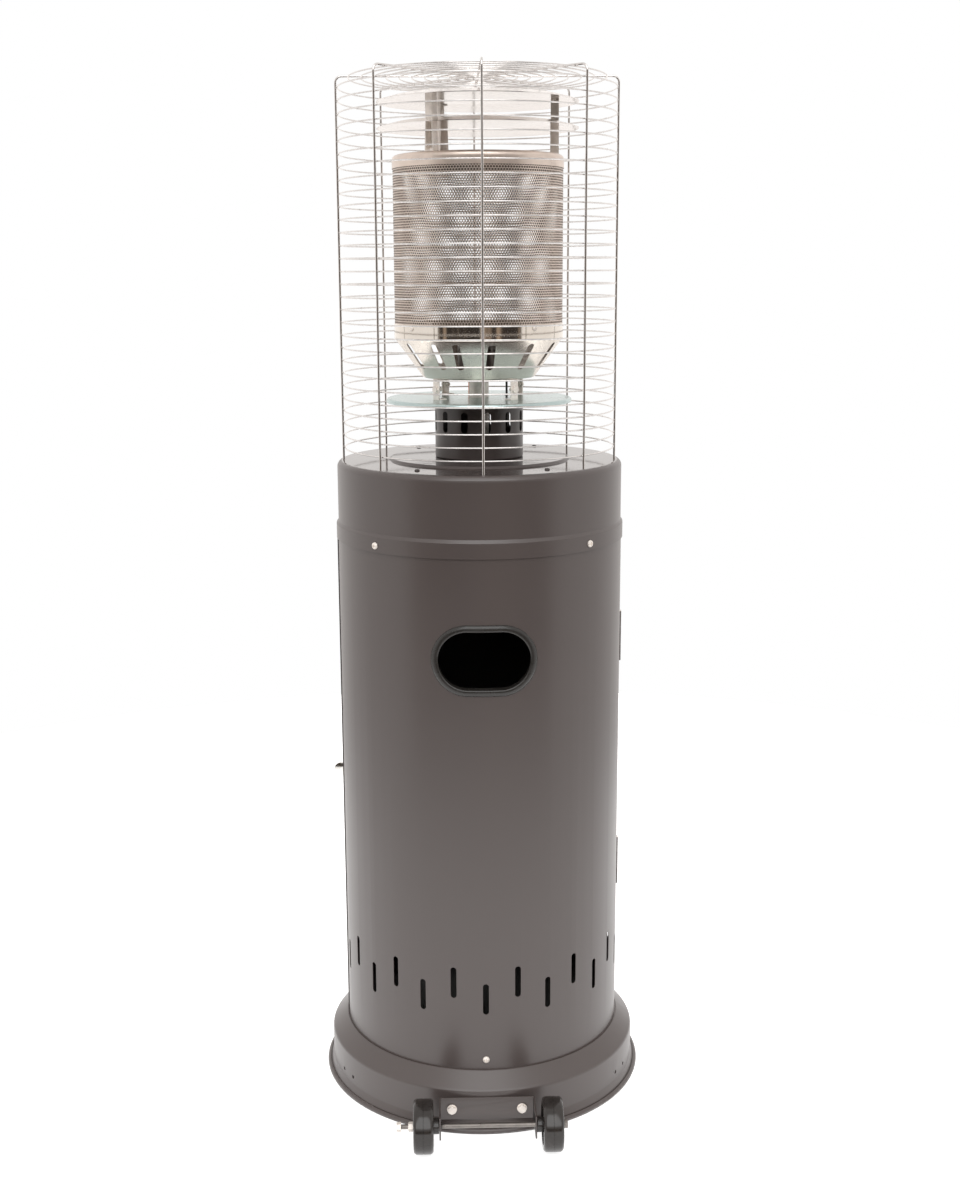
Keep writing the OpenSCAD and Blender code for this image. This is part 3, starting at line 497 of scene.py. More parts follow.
@dataclass(frozen=True)
class Scorched(Finish):
    """Satin sheet round the flame, bright outside and darkened within.

    Attributes:
        colour: The metal's colour.
        soot: Its colour on the flame's side.
        gloss: Its roughness.
        blotch: How far its tone varies.
        lift: How far a face that points up counts as outside, as a radius in metres.
        waves: The blotches and fine grains in a metre.
    """

    colour: Colour
    soot: Colour
    gloss: float = 0.30
    blotch: float = 0.10
    lift: float = 0.11
    waves: Pair = (40.0, 1800.0)

    def shade(self, net: Net) -> dict[str, Any]:
        """Sets out the finish's nodes.

        Args:
            net: The material's net.

        Returns:
            The shader's inputs, by socket name.
        """
        place = net.place()
        blotches, grains = self.waves
        across, along, _ = net.parts(place)
        facing_x, facing_y, facing_z = net.parts(net.facing())
        outer = (across * facing_x + along * facing_y + self.lift * facing_z).ramp(0.0, 0.03)
        cloud = net.noise(place, blotches, 4.0, 0.6)
        fine = net.noise(place, grains, 1.0)
        bright = net.mottle(cloud.ramp(0.3, 0.7), self.colour, self.blotch, self.blotch / 2)
        return {"Base Color": net.blend(outer, self.soot, bright), "Metallic": outer * 0.4 + 0.4,
                "Roughness": cloud * 0.14 + (self.gloss - 0.07) + (1 - outer) * 0.3,
                "Normal": net.bump(fine, 0.05, 0.05)}


@dataclass(frozen=True)
class Glaze(Finish):
    """Glazed ceramic with a few grey specks.

    Attributes:
        colour: The glaze's colour.
        gloss: Its least roughness.
        waves: The specks and cloudy places in a metre.
    """

    colour: Colour
    gloss: float = 0.14
    waves: Pair = (900.0, 80.0)

    def shade(self, net: Net) -> dict[str, Any]:
        """Sets out the finish's nodes.

        Args:
            net: The material's net.

        Returns:
            The shader's inputs, by socket name.
        """
        place = net.place()
        specks, clouds = self.waves
        speck = net.noise(place, specks, 2.0).ramp(0.66, 0.74)
        cloud = net.noise(place, clouds)
        return {"Base Color": net.blend(speck, self.colour, toned(self.colour, 0.6)),
                "Roughness": cloud * 0.12 + self.gloss, "Normal": net.bump(cloud, 0.1, 0.2)}


class Coat(Enum):
    """The record's material slots, each with its finish."""

    paint = PowderCoat(linear(75, 67, 65))
    dark_paint = PowderCoat(linear(62, 54, 52))
    black_plastic = Moulding(linear(38, 36, 34), gloss=0.30, grain=0.10)
    wheel_plastic = Moulding(linear(40, 36, 34), gloss=0.18, grain=0.06, scuff=0.6)
    zinc = Plate(linear(242, 234, 226), gloss=0.30, metal=0.2)
    plain_steel = Plate(linear(128, 123, 119), gloss=0.30)
    latch_chrome = Plate(linear(226, 224, 220), gloss=0.10, blotch=0.05)
    guard_wire = Plate(linear(222, 219, 217), gloss=0.14, blotches=260.0)
    polished_stainless = Spun(linear(226, 219, 210), gloss=0.09, lines=0.01, satin=(0.12, 1.037))
    mesh_stainless = Scorched(linear(222, 207, 196), soot=linear(110, 97, 88))
    bright_aluminium = Spun(linear(238, 234, 231), gloss=0.20, lines=0.004, haze=0.0)
    shield_metal = Spun(linear(190, 206, 206), gloss=0.26, lines=0.004, tint=linear(190, 210, 208), haze=0.2)
    brass = Plate(linear(214, 178, 108), gloss=0.24)
    copper = Plate(linear(212, 146, 112), gloss=0.26)
    ceramic = Glaze(linear(234, 230, 220))

    def material(self) -> bpy.types.Material:
        """The slot's material."""
        return self.value.material(self.name)


# Places

def at(x: float, y: float, z: float) -> Matrix:
    """A shift from the origin, in millimetres."""
    return Matrix.Translation((x * MM, y * MM, z * MM))


def turn(angle: float, axis: str) -> Matrix:
    """A turn about an axis, in degrees."""
    return Matrix.Rotation(math.radians(angle), 4, axis)


def upright(azimuth: float, radius: float, height: float) -> Matrix:
    """Keeps +Z upright and turns +X outwards at an azimuth.

    Args:
        azimuth: Degrees from the wheel side, positive towards +X.
        radius: Millimetres from the axis.
        height: Millimetres above the floor.

    Returns:
        The place.
    """
    return turn(azimuth - 90, "Z") @ at(radius, 0, height)


def radial(azimuth: float, radius: float, height: float) -> Matrix:
    """The same place as upright gives, with +Z turned outwards."""
    return upright(azimuth, radius, height) @ turn(90, "Y")


# Modelling

class Bench:
    """The bench on which pieces are modelled, one at a time."""

    @staticmethod
    def clear() -> None:
        """Leaves edit mode and deselects every object."""
        if bpy.context.object is not None and bpy.context.object.mode != "OBJECT":
            bpy.ops.object.mode_set(mode="OBJECT")
        bpy.ops.object.select_all(action="DESELECT")

    @staticmethod
    def take(piece: bpy.types.Object) -> None:
        """Makes a piece the only one that is selected.

        Args:
            piece: The piece, which also becomes active.
        """
        Bench.clear()
        piece.select_set(True)
        bpy.context.view_layer.objects.active = piece

    @staticmethod
    def edit(how: str = "SELECT") -> None:
        """Opens the active piece in edit mode with all of it selected, or none."""
        bpy.ops.object.mode_set(mode="EDIT")
        bpy.ops.mesh.select_all(action=how)

    @staticmethod
    def close() -> bpy.types.Object:
        """Leaves edit mode and gives the active piece."""
        bpy.ops.object.mode_set(mode="OBJECT")
        return bpy.context.object

    @staticmethod
    def freeze() -> bpy.types.Object:
        """Puts the active piece's place into its mesh and gives the piece."""
        bpy.ops.object.transform_apply(location=True, rotation=True, scale=True)
        return bpy.context.object

    @staticmethod
    def seat(piece: bpy.types.Object, place: Matrix) -> bpy.types.Object:
        """Moves a piece's mesh to a place and leaves the object at the origin.

        Args:
            piece: The piece.
            place: Where its mesh goes.

        Returns:
            The piece.
        """
        Bench.take(piece)
        piece.matrix_world = place
        return Bench.freeze()

    @staticmethod
    def smooth(angle: float) -> None:
        """Smooths the active piece's edges up to an angle in degrees."""
        bpy.ops.object.shade_smooth_by_angle(angle=math.radians(angle))

    @staticmethod
    def weld(angle: float = 35.0) -> bpy.types.Object:
        """Merges the active piece's doubles, turns its faces outwards and smooths it.

        Args:
            angle: The angle up to which edges are smoothed, in degrees.

        Returns:
            The piece.
        """
        Bench.edit()
        bpy.ops.mesh.remove_doubles(threshold=MERGE)
        bpy.ops.mesh.normals_make_consistent(inside=False)
        piece = Bench.close()
        Bench.smooth(angle)
        return piece

    @staticmethod
    def apply(kind: str, **settings: Any) -> None:
        """Adds a modifier to the active piece and applies it.

        Args:
            kind: The modifier's type.
            settings: Its settings.
        """
        made = bpy.context.object.modifiers.new(kind.lower(), kind)
        for name, value in settings.items():
            setattr(made, name, value)
        bpy.ops.object.modifier_apply(modifier=made.name)

    @staticmethod
    def carve(piece: bpy.types.Object, tool: bpy.types.Object, operation: str) -> None:
        """Cuts a piece by a tool, which is then removed.

        Args:
            piece: What is cut, and is left active.
            tool: What cuts it.
            operation: Whether what they share is taken away or kept.
        """
        Bench.take(piece)
        Bench.apply("BOOLEAN", operation=operation, object=tool, solver="EXACT")
        bpy.data.objects.remove(tool)

    @staticmethod
    def turned(name: str, profile: Sequence[Pair], steps: int) -> bpy.types.Object:
        """Draws a profile, closed unless both its ends are on the axis, and spins it about Z.

        Args:
            name: The piece's name.
            profile: Its points, as radius and height in millimetres.
            steps: The steps of a full turn.

        Returns:
            The piece.
        """
        Bench.clear()
        radius, height = profile[0]
        bpy.ops.mesh.primitive_plane_add(size=MM, location=(radius * MM, 0, height * MM))
        Bench.freeze().name = name
        Bench.edit()
        bpy.ops.mesh.merge(type="CENTER")
        closing = () if radius == profile[-1][0] == 0 else (profile[0],)
        for next_radius, next_height in (*profile[1:], *closing):
            step = ((next_radius - radius) * MM, 0, (next_height - height) * MM)
            bpy.ops.mesh.extrude_region_move(TRANSFORM_OT_translate={"value": step})
            radius, height = next_radius, next_height
        bpy.ops.mesh.select_all(action="SELECT")
        bpy.ops.mesh.remove_doubles(threshold=MERGE)
        bpy.ops.mesh.select_all(action="SELECT")
        bpy.ops.mesh.spin(steps=steps, angle=math.tau, center=(0, 0, 0), axis=(0, 0, 1))
        Bench.close()
        return Bench.weld()

    @staticmethod
    def block(name: str, low: Point, high: Point, edge: float, segments: int = 2) -> bpy.types.Object:
        """A block with rounded edges.

        Args:
            name: The piece's name.
            low: Its lowest corner in millimetres.
            high: Its highest corner in millimetres.
            edge: The radius of its edges in millimetres.
            segments: The steps of a rounded edge.

        Returns:
            The piece.
        """
        Bench.clear()
        middle = [(a + b) / 2 * MM for a, b in zip(low, high)]
        size = [(b - a) * MM for a, b in zip(low, high)]
        bpy.ops.mesh.primitive_cube_add(size=1, location=middle, scale=size)
        Bench.freeze().name = name
        Bench.edit()
        bpy.ops.mesh.bevel(offset=edge * MM, segments=segments, affect="EDGES", clamp_overlap=True)
        Bench.close()
        return Bench.weld()

    @staticmethod
    def bead(radius: float, place: Point = (0, 0, 0), scale: Point = (1, 1, 1)) -> bpy.types.Object:
        """A small drop of weld metal.

        Args:
            radius: Its radius in millimetres.
            place: Its middle in millimetres.
            scale: How far it is drawn out along each axis.

        Returns:
            The drop.
        """
        Bench.clear()
        bpy.ops.mesh.primitive_ico_sphere_add(subdivisions=2, radius=radius * MM, scale=scale,
                                              location=[part * MM for part in place])
        Bench.freeze()
        return Bench.weld(60.0)

    @staticmethod
    def duplicate(source: bpy.types.Object, name: str) -> bpy.types.Object:
        """Copies a piece's mesh to a new object at the origin.

        Args:
            source: The piece.
            name: The new object's name.

        Returns:
            The new object.
        """
        copy = bpy.data.objects.new(name, source.data.copy())
        bpy.context.scene.collection.objects.link(copy)
        return copy

    @staticmethod
    def joined(name: str, pieces: Sequence[bpy.types.Object]) -> bpy.types.Object:
        """Joins pieces into one.

        Args:
            name: The joined piece's name.
            pieces: What is joined.

        Returns:
            The joined piece.
        """
        Bench.take(pieces[0])
        for piece in pieces[1:]:
            piece.select_set(True)
        if len(pieces) > 1:
            bpy.ops.object.join()
        bpy.context.object.name = name
        bpy.context.object.data.name = name
        return bpy.context.object

    @staticmethod
    def copies(name: str, master: bpy.types.Object, places: Sequence[Matrix]) -> bpy.types.Object:
        """Copies a master to its places and joins the copies.

        Args:
            name: The joined piece's name.
            master: What is copied, and then removed.
            places: Where each copy goes.

        Returns:
            The joined piece.
        """
        made = []
        for place in places:
            copy = Bench.duplicate(master, name)
            copy.matrix_world = place
            made.append(copy)
        bpy.data.objects.remove(master)
        bpy.context.view_layer.update()
        Bench.joined(name, made)
        return Bench.freeze()

    @staticmethod
    def softened(name: str, node: str, edge: float, segments: int, sharp: float = 40.0) -> bpy.types.Object:
        """Copies a CAD node, welds its seams and rounds its sharp edges.

        Args:
            name: The piece's name.
            node: The CAD node.
            edge: The radius of its edges in millimetres.
            segments: The steps of a rounded edge.
            sharp: The angle above which an edge is rounded, in degrees.

        Returns:
            The piece.
        """
        copy = Bench.duplicate(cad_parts[node], name)
        Bench.take(copy)
        bpy.ops.mesh.customdata_custom_splitnormals_clear()
        Bench.edit()
        bpy.ops.mesh.remove_doubles(threshold=0.005 * MM)
        bpy.ops.mesh.dissolve_limited(angle_limit=math.radians(0.4))
        Bench.close()
        Bench.apply("BEVEL", width=edge * MM, segments=segments, limit_method="ANGLE",
                    angle_limit=math.radians(sharp), use_clamp_overlap=True, miter_outer="MITER_ARC")
        Bench.smooth(sharp)
        return copy


def settle(piece: bpy.types.Object, coat: Coat, *nodes: str, body: str = ROOT) -> None:
    """Gives a new piece its finish and its place in the frame.

    Args:
        piece: The piece.
        coat: Its finish and material slot.
        nodes: The CAD nodes that it stands for.
        body: The body that it rides on.
    """
    piece.data.materials.clear()
    piece.data.materials.append(coat.material())
    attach(piece, body)
    if nodes:
        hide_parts(*nodes)
    LOG.info("%s: %d faces, %s", piece.name, len(piece.data.polygons), coat.name)


def soften(name: str, node: str, coat: Coat, edge: float, segments: int = 2, body: str = ROOT) -> None:
    """Puts a copy with rounded edges in a CAD node's place.

    Args:
        name: The new piece's name.
        node: The CAD node.
        coat: The finish and material slot.
        edge: The radius of the edges in millimetres.
        segments: The steps of a rounded edge.
        body: The body that it rides on.
    """
    settle(Bench.softened(name, node, edge, segments), coat, node, body=body)


def dress(coat: Coat, *nodes: str) -> None:
    """Gives carried-over CAD nodes their finish.

    Args:
        coat: The finish.
        nodes: The CAD nodes.
    """
    for name in nodes:
        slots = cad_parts[name].data.materials
        slots.clear()
        slots.append(coat.material())
    LOG.info("%s on %s", coat.name, ", ".join(nodes))


# Fasteners

@dataclass(frozen=True)
class PanScrew:
    """A pan-headed screw with a cross recess, pointing down from its seat.

    Attributes:
        shank: The shank's radius in millimetres.
        length: The shank's length.
        head: The head's radius.
        height: The head's height.
    """

    shank: float
    length: float
    head: float
    height: float

    def build(self) -> bpy.types.Object:
        """Makes one screw at the origin.

        Returns:
            The screw.
        """
        r, h = self.head, self.height
        screw = Bench.turned("screw", [
            (0, h), (0.45 * r, 0.97 * h), (0.74 * r, 0.84 * h), (0.92 * r, 0.58 * h), (r, 0.26 * h),
            (r, 0.05 * h), (0.96 * r, 0), (self.shank, 0), (self.shank, 0.6 - self.length),
            (0.6 * self.shank, -self.length), (0, -self.length)], 24)
        half_slot, half_bar = 0.13 * r, 0.55 * r
        for x, y in ((half_bar, half_slot), (half_slot, half_bar)):
            bar = Bench.block("bar", (-x, -y, 0.5 * h), (x, y, 1.2 * h), 0.04)
            Bench.carve(screw, bar, "DIFFERENCE")
        return Bench.weld(30.0)


@dataclass(frozen=True)
class HexBolt:
    """A hexagon head or nut with a turned chamfer, on a shank and perhaps a washer.

    Attributes:
        shank: The shank's radius in millimetres.
        length: The shank's length.
        head: The head's radius over its corners.
        height: The height of the head and the washer.
        washer: The washer's radius, or 0 for none.
        washer_height: The washer's height.
        washer_edge: The chamfer of the washer's rim.
    """

    shank: float
    length: float
    head: float
    height: float
    washer: float = 0.0
    washer_height: float = 0.9
    washer_edge: float = 0.15

    def build(self) -> bpy.types.Object:
        """Makes one bolt at the origin, pointing down from its seat.

        Returns:
            The bolt.
        """
        rise = self.washer_height if self.washer else 0.0
        tall = self.height - rise
        Bench.clear()
        bpy.ops.mesh.primitive_cylinder_add(vertices=6, radius=self.head * MM, depth=tall * MM,
                                            location=(0, 0, (rise + tall / 2) * MM))
        head = Bench.freeze()
        wide = 1.1 * self.head
        crown = Bench.turned("crown", [(0, rise - 1), (wide, rise - 1), (wide, rise + 0.72 * tall),
                                       (0.86 * self.head, rise + tall), (0, rise + tall)], 36)
        Bench.carve(head, crown, "INTERSECT")
        parts = [head, Bench.turned("shank", [(0, rise), (self.shank, rise), (self.shank, 0.5 - self.length),
                                              (0.75 * self.shank, -self.length), (0, -self.length)], 20)]
        if self.washer:
            flat, edge = self.washer - self.washer_edge, self.washer_edge
            ring = [(self.shank, 0), (flat, 0), (self.washer, edge), (self.washer, rise - edge), (flat, rise),
                    (self.shank, rise)]
            parts.append(Bench.turned("washer", ring, 32))
        bolt = Bench.joined("bolt", parts)
        Bench.smooth(25.0)
        return bolt


# Sub-assemblies

@dataclass
class Running:
    """The wheels, their axle and the bracket under the base.

    Attributes:
        axle: The axle's place along Y and its height, in millimetres.
        tread: The near and far faces of a tread.
        hub: The near and far faces of a hub.
        radius: The wheel's radius.
        rim: The inner radius of the rim.
        boss: The hub's radius.
        bore: The bore's radius.
        recess: The depth of a side's recess.
        ribs: The ribs in a recess.
        rib_half: Half of a rib's thickness.
        bolt: A bracket bolt's distance from the middle and its height.
        bolt_seats: The places along Y of the bolts' heads and nuts.
        nut_seats: The places along X of the axle's nuts.
    """

    axle: Pair = (-261.0, 36.0)
    tread: Pair = (71.0, 97.0)
    hub: Pair = (63.8, 97.5)
    radius: float = 35.0
    rim: float = 26.0
    boss: float = 10.0
    bore: float = 3.25
    recess: float = 5.0
    ribs: int = 8
    rib_half: float = 1.1
    bolt: Pair = (46.5, 35.0)
    bolt_seats: Pair = (-218.2, -207.8)
    nut_seats: Pair = (-97.8, -113.3)

    def _profile(self) -> list[Pair]:
        """Draws half of the wheel's section and mirrors it for the far half.

        Returns:
            The section's points, as radius and place along the axle.
        """
        (near, far), (start, end) = self.tread, self.hub
        r, rim, half = self.radius, self.rim, (far - near) / 2
        hub = [(self.bore, 0), (self.boss - 0.8, 0), (self.boss, 0.8)]
        face = [(self.boss, self.recess - 1), (self.boss + 1, self.recess), (rim - 1.2, self.recess),
                (rim, self.recess - 1.2), (rim, 0.6), (rim + 0.6, 0)]
        tread = [(r - 3.6, 0), (r - 2.4, 0.5), (r - 0.7, 2.6), (r - 0.25, 3.8)]
        seam = [(r - 0.05, half - 0.9), (r - 0.05, half - 0.55), (r - 0.45, half - 0.35)]
        side = face + tread + seam
        return ([(x, start + deep) for x, deep in hub] + [(x, near + deep) for x, deep in side]
                + [(x, far - deep) for x, deep in reversed(side)]
                + [(x, end - deep) for x, deep in reversed(hub)])

    def _wheel(self, name: str, side: int) -> bpy.types.Object:
        """Makes a wheel on its end of the axle.

        Args:
            name: The wheel's name.
            side: 1 for the +X end and -1 for the other.

        Returns:
            The wheel.
        """
        near, far = self.tread
        body = Bench.turned(name, self._profile(), 72)
        rib = Bench.block("rib", (self.boss - 0.6, -self.rib_half, near + 1.2),
                          (self.rim + 0.6, self.rib_half, near + self.recess + 0.4), 0.5)
        turns = [turn(360 * k / self.ribs, "Z") for k in range(self.ribs)]
        flip = at(0, 0, near + far) @ turn(180, "X")
        spokes = Bench.copies("ribs", rib, turns + [flip @ place for place in turns])
        wheel = Bench.joined(name, [body, spokes])
        return Bench.seat(wheel, at(0, *self.axle) @ turn(side * 90, "Y"))

    def _bolts(self) -> bpy.types.Object:
        """Makes the two bolts through the bracket and their nuts.

        Returns:
            The joined fixings.
        """
        across, height = self.bolt
        head = HexBolt(shank=3.0, length=17.0, head=5.8, height=5.0, washer=6.6)
        nut = HexBolt(shank=3.0, length=1.0, head=5.8, height=5.0)
        rows = []
        for name, fixing, seat, tilt in zip(("heads", "nuts"), (head, nut), self.bolt_seats, (90, -90)):
            places = [at(side * across, seat, height) @ turn(tilt, "X") for side in (-1, 1)]
            rows.append(Bench.copies(name, fixing.build(), places))
        return Bench.joined("bracket_fixings", rows)

    def _nuts(self) -> bpy.types.Object:
        """Makes the two nuts on the axle's left end.

        Returns:
            The joined nuts.
        """
        nut = HexBolt(shank=3.2, length=0.4, head=6.2, height=6.0)
        places = [at(seat, *self.axle) @ turn(-90, "Y") for seat in self.nut_seats]
        return Bench.copies("axle_end_nuts", nut.build(), places)

    def build(self) -> None:
        """Makes the wheels, the axle's nuts, the bracket and its bolts."""
        settle(self._wheel("left_roller", -1), Coat.wheel_plastic, "wheel_left", body="left_wheel")
        settle(self._wheel("right_roller", 1), Coat.wheel_plastic, "wheel_right", body="right_wheel")
        soften("pressed_bracket", "wheel_bracket", Coat.paint, 0.5)
        soften("axle_rod", "wheel_axle", Coat.plain_steel, 0.5)
        settle(self._nuts(), Coat.zinc, "axle_nuts")
        settle(self._bolts(), Coat.zinc, "bracket_bolts")

    def dress(self) -> None:
        """Gives the carried-over pieces their finishes."""
        dress(Coat.paint, "base_pan")


@dataclass
class Housing:
    """The round body: the hand hole's bezel, the screws, the hinges and the latch.

    Attributes:
        radius: The shell's radius in millimetres.
        hole: The width and height of the hand hole.
        middle: The height of the hand hole's middle.
        depth: How far the bezel's collar goes in.
        cuts: The cuts each side of the bezel's middle, where it bends with the shell.
        cut_pitch: The spacing of those cuts.
        band: The radius and height at which the hood's band has its screws.
        band_turns: The azimuths of those screws.
        foot: The radius and height of the screw above the base.
    """

    radius: float = 192.3
    hole: Pair = (118.0, 75.0)
    middle: float = 641.0
    depth: float = 10.0
    cuts: int = 4
    cut_pitch: float = 4.8
    band: Pair = (194.3, 781.0)
    band_turns: tuple[float, ...] = (-135.0, -45.0, 45.0, 135.0)
    foot: Pair = (192.4, 92.0)

    def _bezel(self) -> bpy.types.Object:
        """Turns a round ring, stretches it to the hand hole and curves it to the shell.

        Returns:
            The bezel.
        """
        wide, tall = self.hole
        edge, deep = tall / 2, -self.depth
        bezel = Bench.turned("hand_bezel", [
            (edge, deep), (edge, 1.5), (edge + 0.3, 2.3), (edge + 0.9, 2.9), (edge + 1.8, 3.2),
            (edge + 3.6, 3.2), (edge + 5.4, 2.95), (edge + 7.0, 2.3), (edge + 8.2, 1.4), (edge + 8.8, 0.7),
            (edge + 9.0, 0.12), (edge + 2.8, 0.12), (edge + 2.8, deep + 0.6), (edge + 2.2, deep)], 66)
        for side in (-1, 1):
            Bench.edit("DESELECT")
            Bench.close()
            for vertex in bezel.data.vertices:
                vertex.select = vertex.co.x * side > 0
            bpy.ops.object.mode_set(mode="EDIT")
            bpy.ops.transform.translate(value=(side * (wide - tall) / 2 * MM, 0, 0))
            Bench.close()
        for cut in range(-self.cuts, self.cuts + 1):
            Bench.edit()
            bpy.ops.mesh.bisect(plane_co=(cut * self.cut_pitch * MM, 0, 0), plane_no=(1, 0, 0))
        Bench.close()
        for vertex in bezel.data.vertices:
            across, up, out = vertex.co
            reach = self.radius * MM + out
            vertex.co = (across, -math.sqrt(reach * reach - across * across), self.middle * MM + up)
        Bench.smooth(40.0)
        return bezel

    def build(self) -> None:
        """Makes the bezel, the screws, the hinges and the latch."""
        settle(self._bezel(), Coat.black_plastic, "grip_bezel")
        screw = PanScrew(shank=2.4, length=9.0, head=4.6, height=3.0)
        places = [radial(azimuth, *self.band) for azimuth in self.band_turns]
        settle(Bench.copies("band_screws", screw.build(), places), Coat.zinc, "hood_screws")
        settle(Bench.copies("foot_screw", screw.build(), [radial(0, *self.foot)]), Coat.zinc, "base_screw")
        soften("latch_rose", "latch_housing", Coat.latch_chrome, 0.6, 3, body="door")
        soften("latch_wing", "latch_knob", Coat.latch_chrome, 0.9, 3, body="latch")
        soften("latch_tongue", "latch_cam", Coat.zinc, 0.3, body="latch")
        soften("fixed_hinges", "hinge_fixed_leaves", Coat.paint, 0.3)
        soften("door_hinges", "hinge_door_leaves", Coat.paint, 0.3, body="door")

    def dress(self) -> None:
        """Gives the carried-over pieces their finishes."""
        dress(Coat.paint, "rear_shell", "door_panel", "front_rail")
        dress(Coat.zinc, "hinge_pins", "latch_strike")


@dataclass
class ControlHood:
    """The hood with its top screws, and the control panel on its front.

    Attributes:
        face: The distance of the panel's face from the axis, in millimetres.
        height: The height of the controls.
        lid: The radius and height at which the hood's top has its screws.
        lid_turns: The azimuths of those screws.
        marks: The marks round the knob.
        mark_pitch: The degrees between them.
        mark_start: The distance of a mark's near end from the knob's axis.
        mark_ends: The distance of its far end, on a short and on a long mark.
        pointer: The distances from the axis between which the knob's pale line lies.
        pointer_reach: The heights of the line's ends above the knob's axis.
    """

    face: float = 196.0
    height: float = 834.0
    lid: Pair = (156.0, 876.1)
    lid_turns: tuple[float, ...] = (-148.0, -32.0, 32.0, 148.0)
    marks: int = 7
    mark_pitch: float = 30.0
    mark_start: float = 25.5
    mark_ends: Pair = (27.0, 28.5)
    pointer: Pair = (221.7, 222.15)
    pointer_reach: Pair = (4.0, 15.5)

    def _marks(self) -> bpy.types.Object:
        """Makes the printed marks round the knob, longer at the ends and the middle of its turn.

        Returns:
            The joined marks.
        """
        short, long = self.mark_ends
        bars = []
        for step in range(self.marks):
            end = long if step % (self.marks // 2) == 0 else short
            bar = Bench.block("mark", (-0.6, -0.1, self.mark_start), (0.6, 0.12, end), 0.05, 1)
            bars.append(Bench.seat(bar, at(0, self.face, self.height) @ turn(self.mark_pitch * step, "Y")))
        return Bench.joined("knob_marks", bars)

    def _pointer(self) -> bpy.types.Object:
        """Makes the pale line on the knob's grip.

        Returns:
            The line.
        """
        near, far = self.pointer
        low, high = (self.height + reach for reach in self.pointer_reach)
        return Bench.block("knob_pointer", (-0.8, near, low), (0.8, far, high), 0.1, 1)

    def build(self) -> None:
        """Makes the panel, the knob, the button and the screws on the hood's top."""
        soften("moulded_panel", "control_panel", Coat.black_plastic, 1.4, 3)
        soften("moulded_knob", "control_knob", Coat.black_plastic, 0.9, 3, body="knob")
        soften("spark_button", "igniter_button", Coat.black_plastic, 0.8, 3, body="button")
        soften("spark_body", "igniter_body", Coat.black_plastic, 0.4)
        settle(self._marks(), Coat.ceramic)
        settle(self._pointer(), Coat.ceramic, body="knob")
        screw = PanScrew(shank=2.0, length=9.0, head=3.4, height=2.0)
        places = [upright(azimuth, *self.lid) for azimuth in self.lid_turns]
        settle(Bench.copies("lid_screws", screw.build(), places), Coat.dark_paint, "top_screws")

    def dress(self) -> None:
        """Gives the carried-over pieces their finishes."""
        dress(Coat.paint, "hood")
        dress(Coat.plain_steel, "valve_stem")


@dataclass
class GasTrain:
    """The valve, pipes and wires under the hood.

    Attributes:
        inlet: The hose tail's place along Y and the height of its shoulder, in millimetres.
        tail: The radius and length of the hose tail.
        neck: How far the tail is drawn in between its barbs.
        barbs: The barbs on the tail.
        barb_pitch: Their spacing.
        bore: The radius and depth of the tail's bore.
    """

    inlet: Pair = (145.1, 800.0)
    tail: Pair = (4.5, 25.0)
    neck: float = 0.9
    barbs: int = 3
    barb_pitch: float = 6.5
    bore: Pair = (2.4, 8.0)

    def _hose_tail(self) -> bpy.types.Object:
        """Makes the inlet: a hexagon with a barbed tail under it.

        Returns:
            The inlet.
        """
        (radius, length), (bore, deep) = self.tail, self.bore
        slim = radius - self.neck
        profile = [(0, 1.0), (slim, 1.0), (slim, -4.0)]
        for barb in range(self.barbs):
            low = -4.0 - self.barb_pitch * barb
            profile += [(slim, low - 1.0), (radius, low - 1.4), (radius, low - 2.2), (slim, low - 6.0)]
        profile += [(radius - 1.2, -length), (bore, -length), (bore, deep - length), (0, deep - length)]
        hexagon = HexBolt(shank=3.0, length=0.5, head=7.0, height=12.0).build()
        tail = Bench.joined("hose_tail", [Bench.turned("tail", profile, 32), hexagon])
        return Bench.seat(tail, at(0, *self.inlet))

    def build(self) -> None:
        """Makes the hose tail and softens the valve, its bracket and the tilt switch."""
        settle(self._hose_tail(), Coat.brass, "inlet_nozzle")
        soften("cast_valve", "valve_body", Coat.brass, 1.2, 3)
        soften("valve_plate", "valve_bracket", Coat.zinc, 0.4)
        soften("tip_switch", "tilt_switch", Coat.black_plastic, 0.8, 3)

    def dress(self) -> None:
        """Gives the carried-over pieces their finishes."""
        dress(Coat.brass, "injector", "pilot_burner")
        dress(Coat.copper, "supply_tube", "pilot_tube", "thermocouple")
        dress(Coat.black_plastic, "ignition_lead")
        dress(Coat.ceramic, "ignition_electrode")
        dress(Coat.plain_steel, "burner_head")


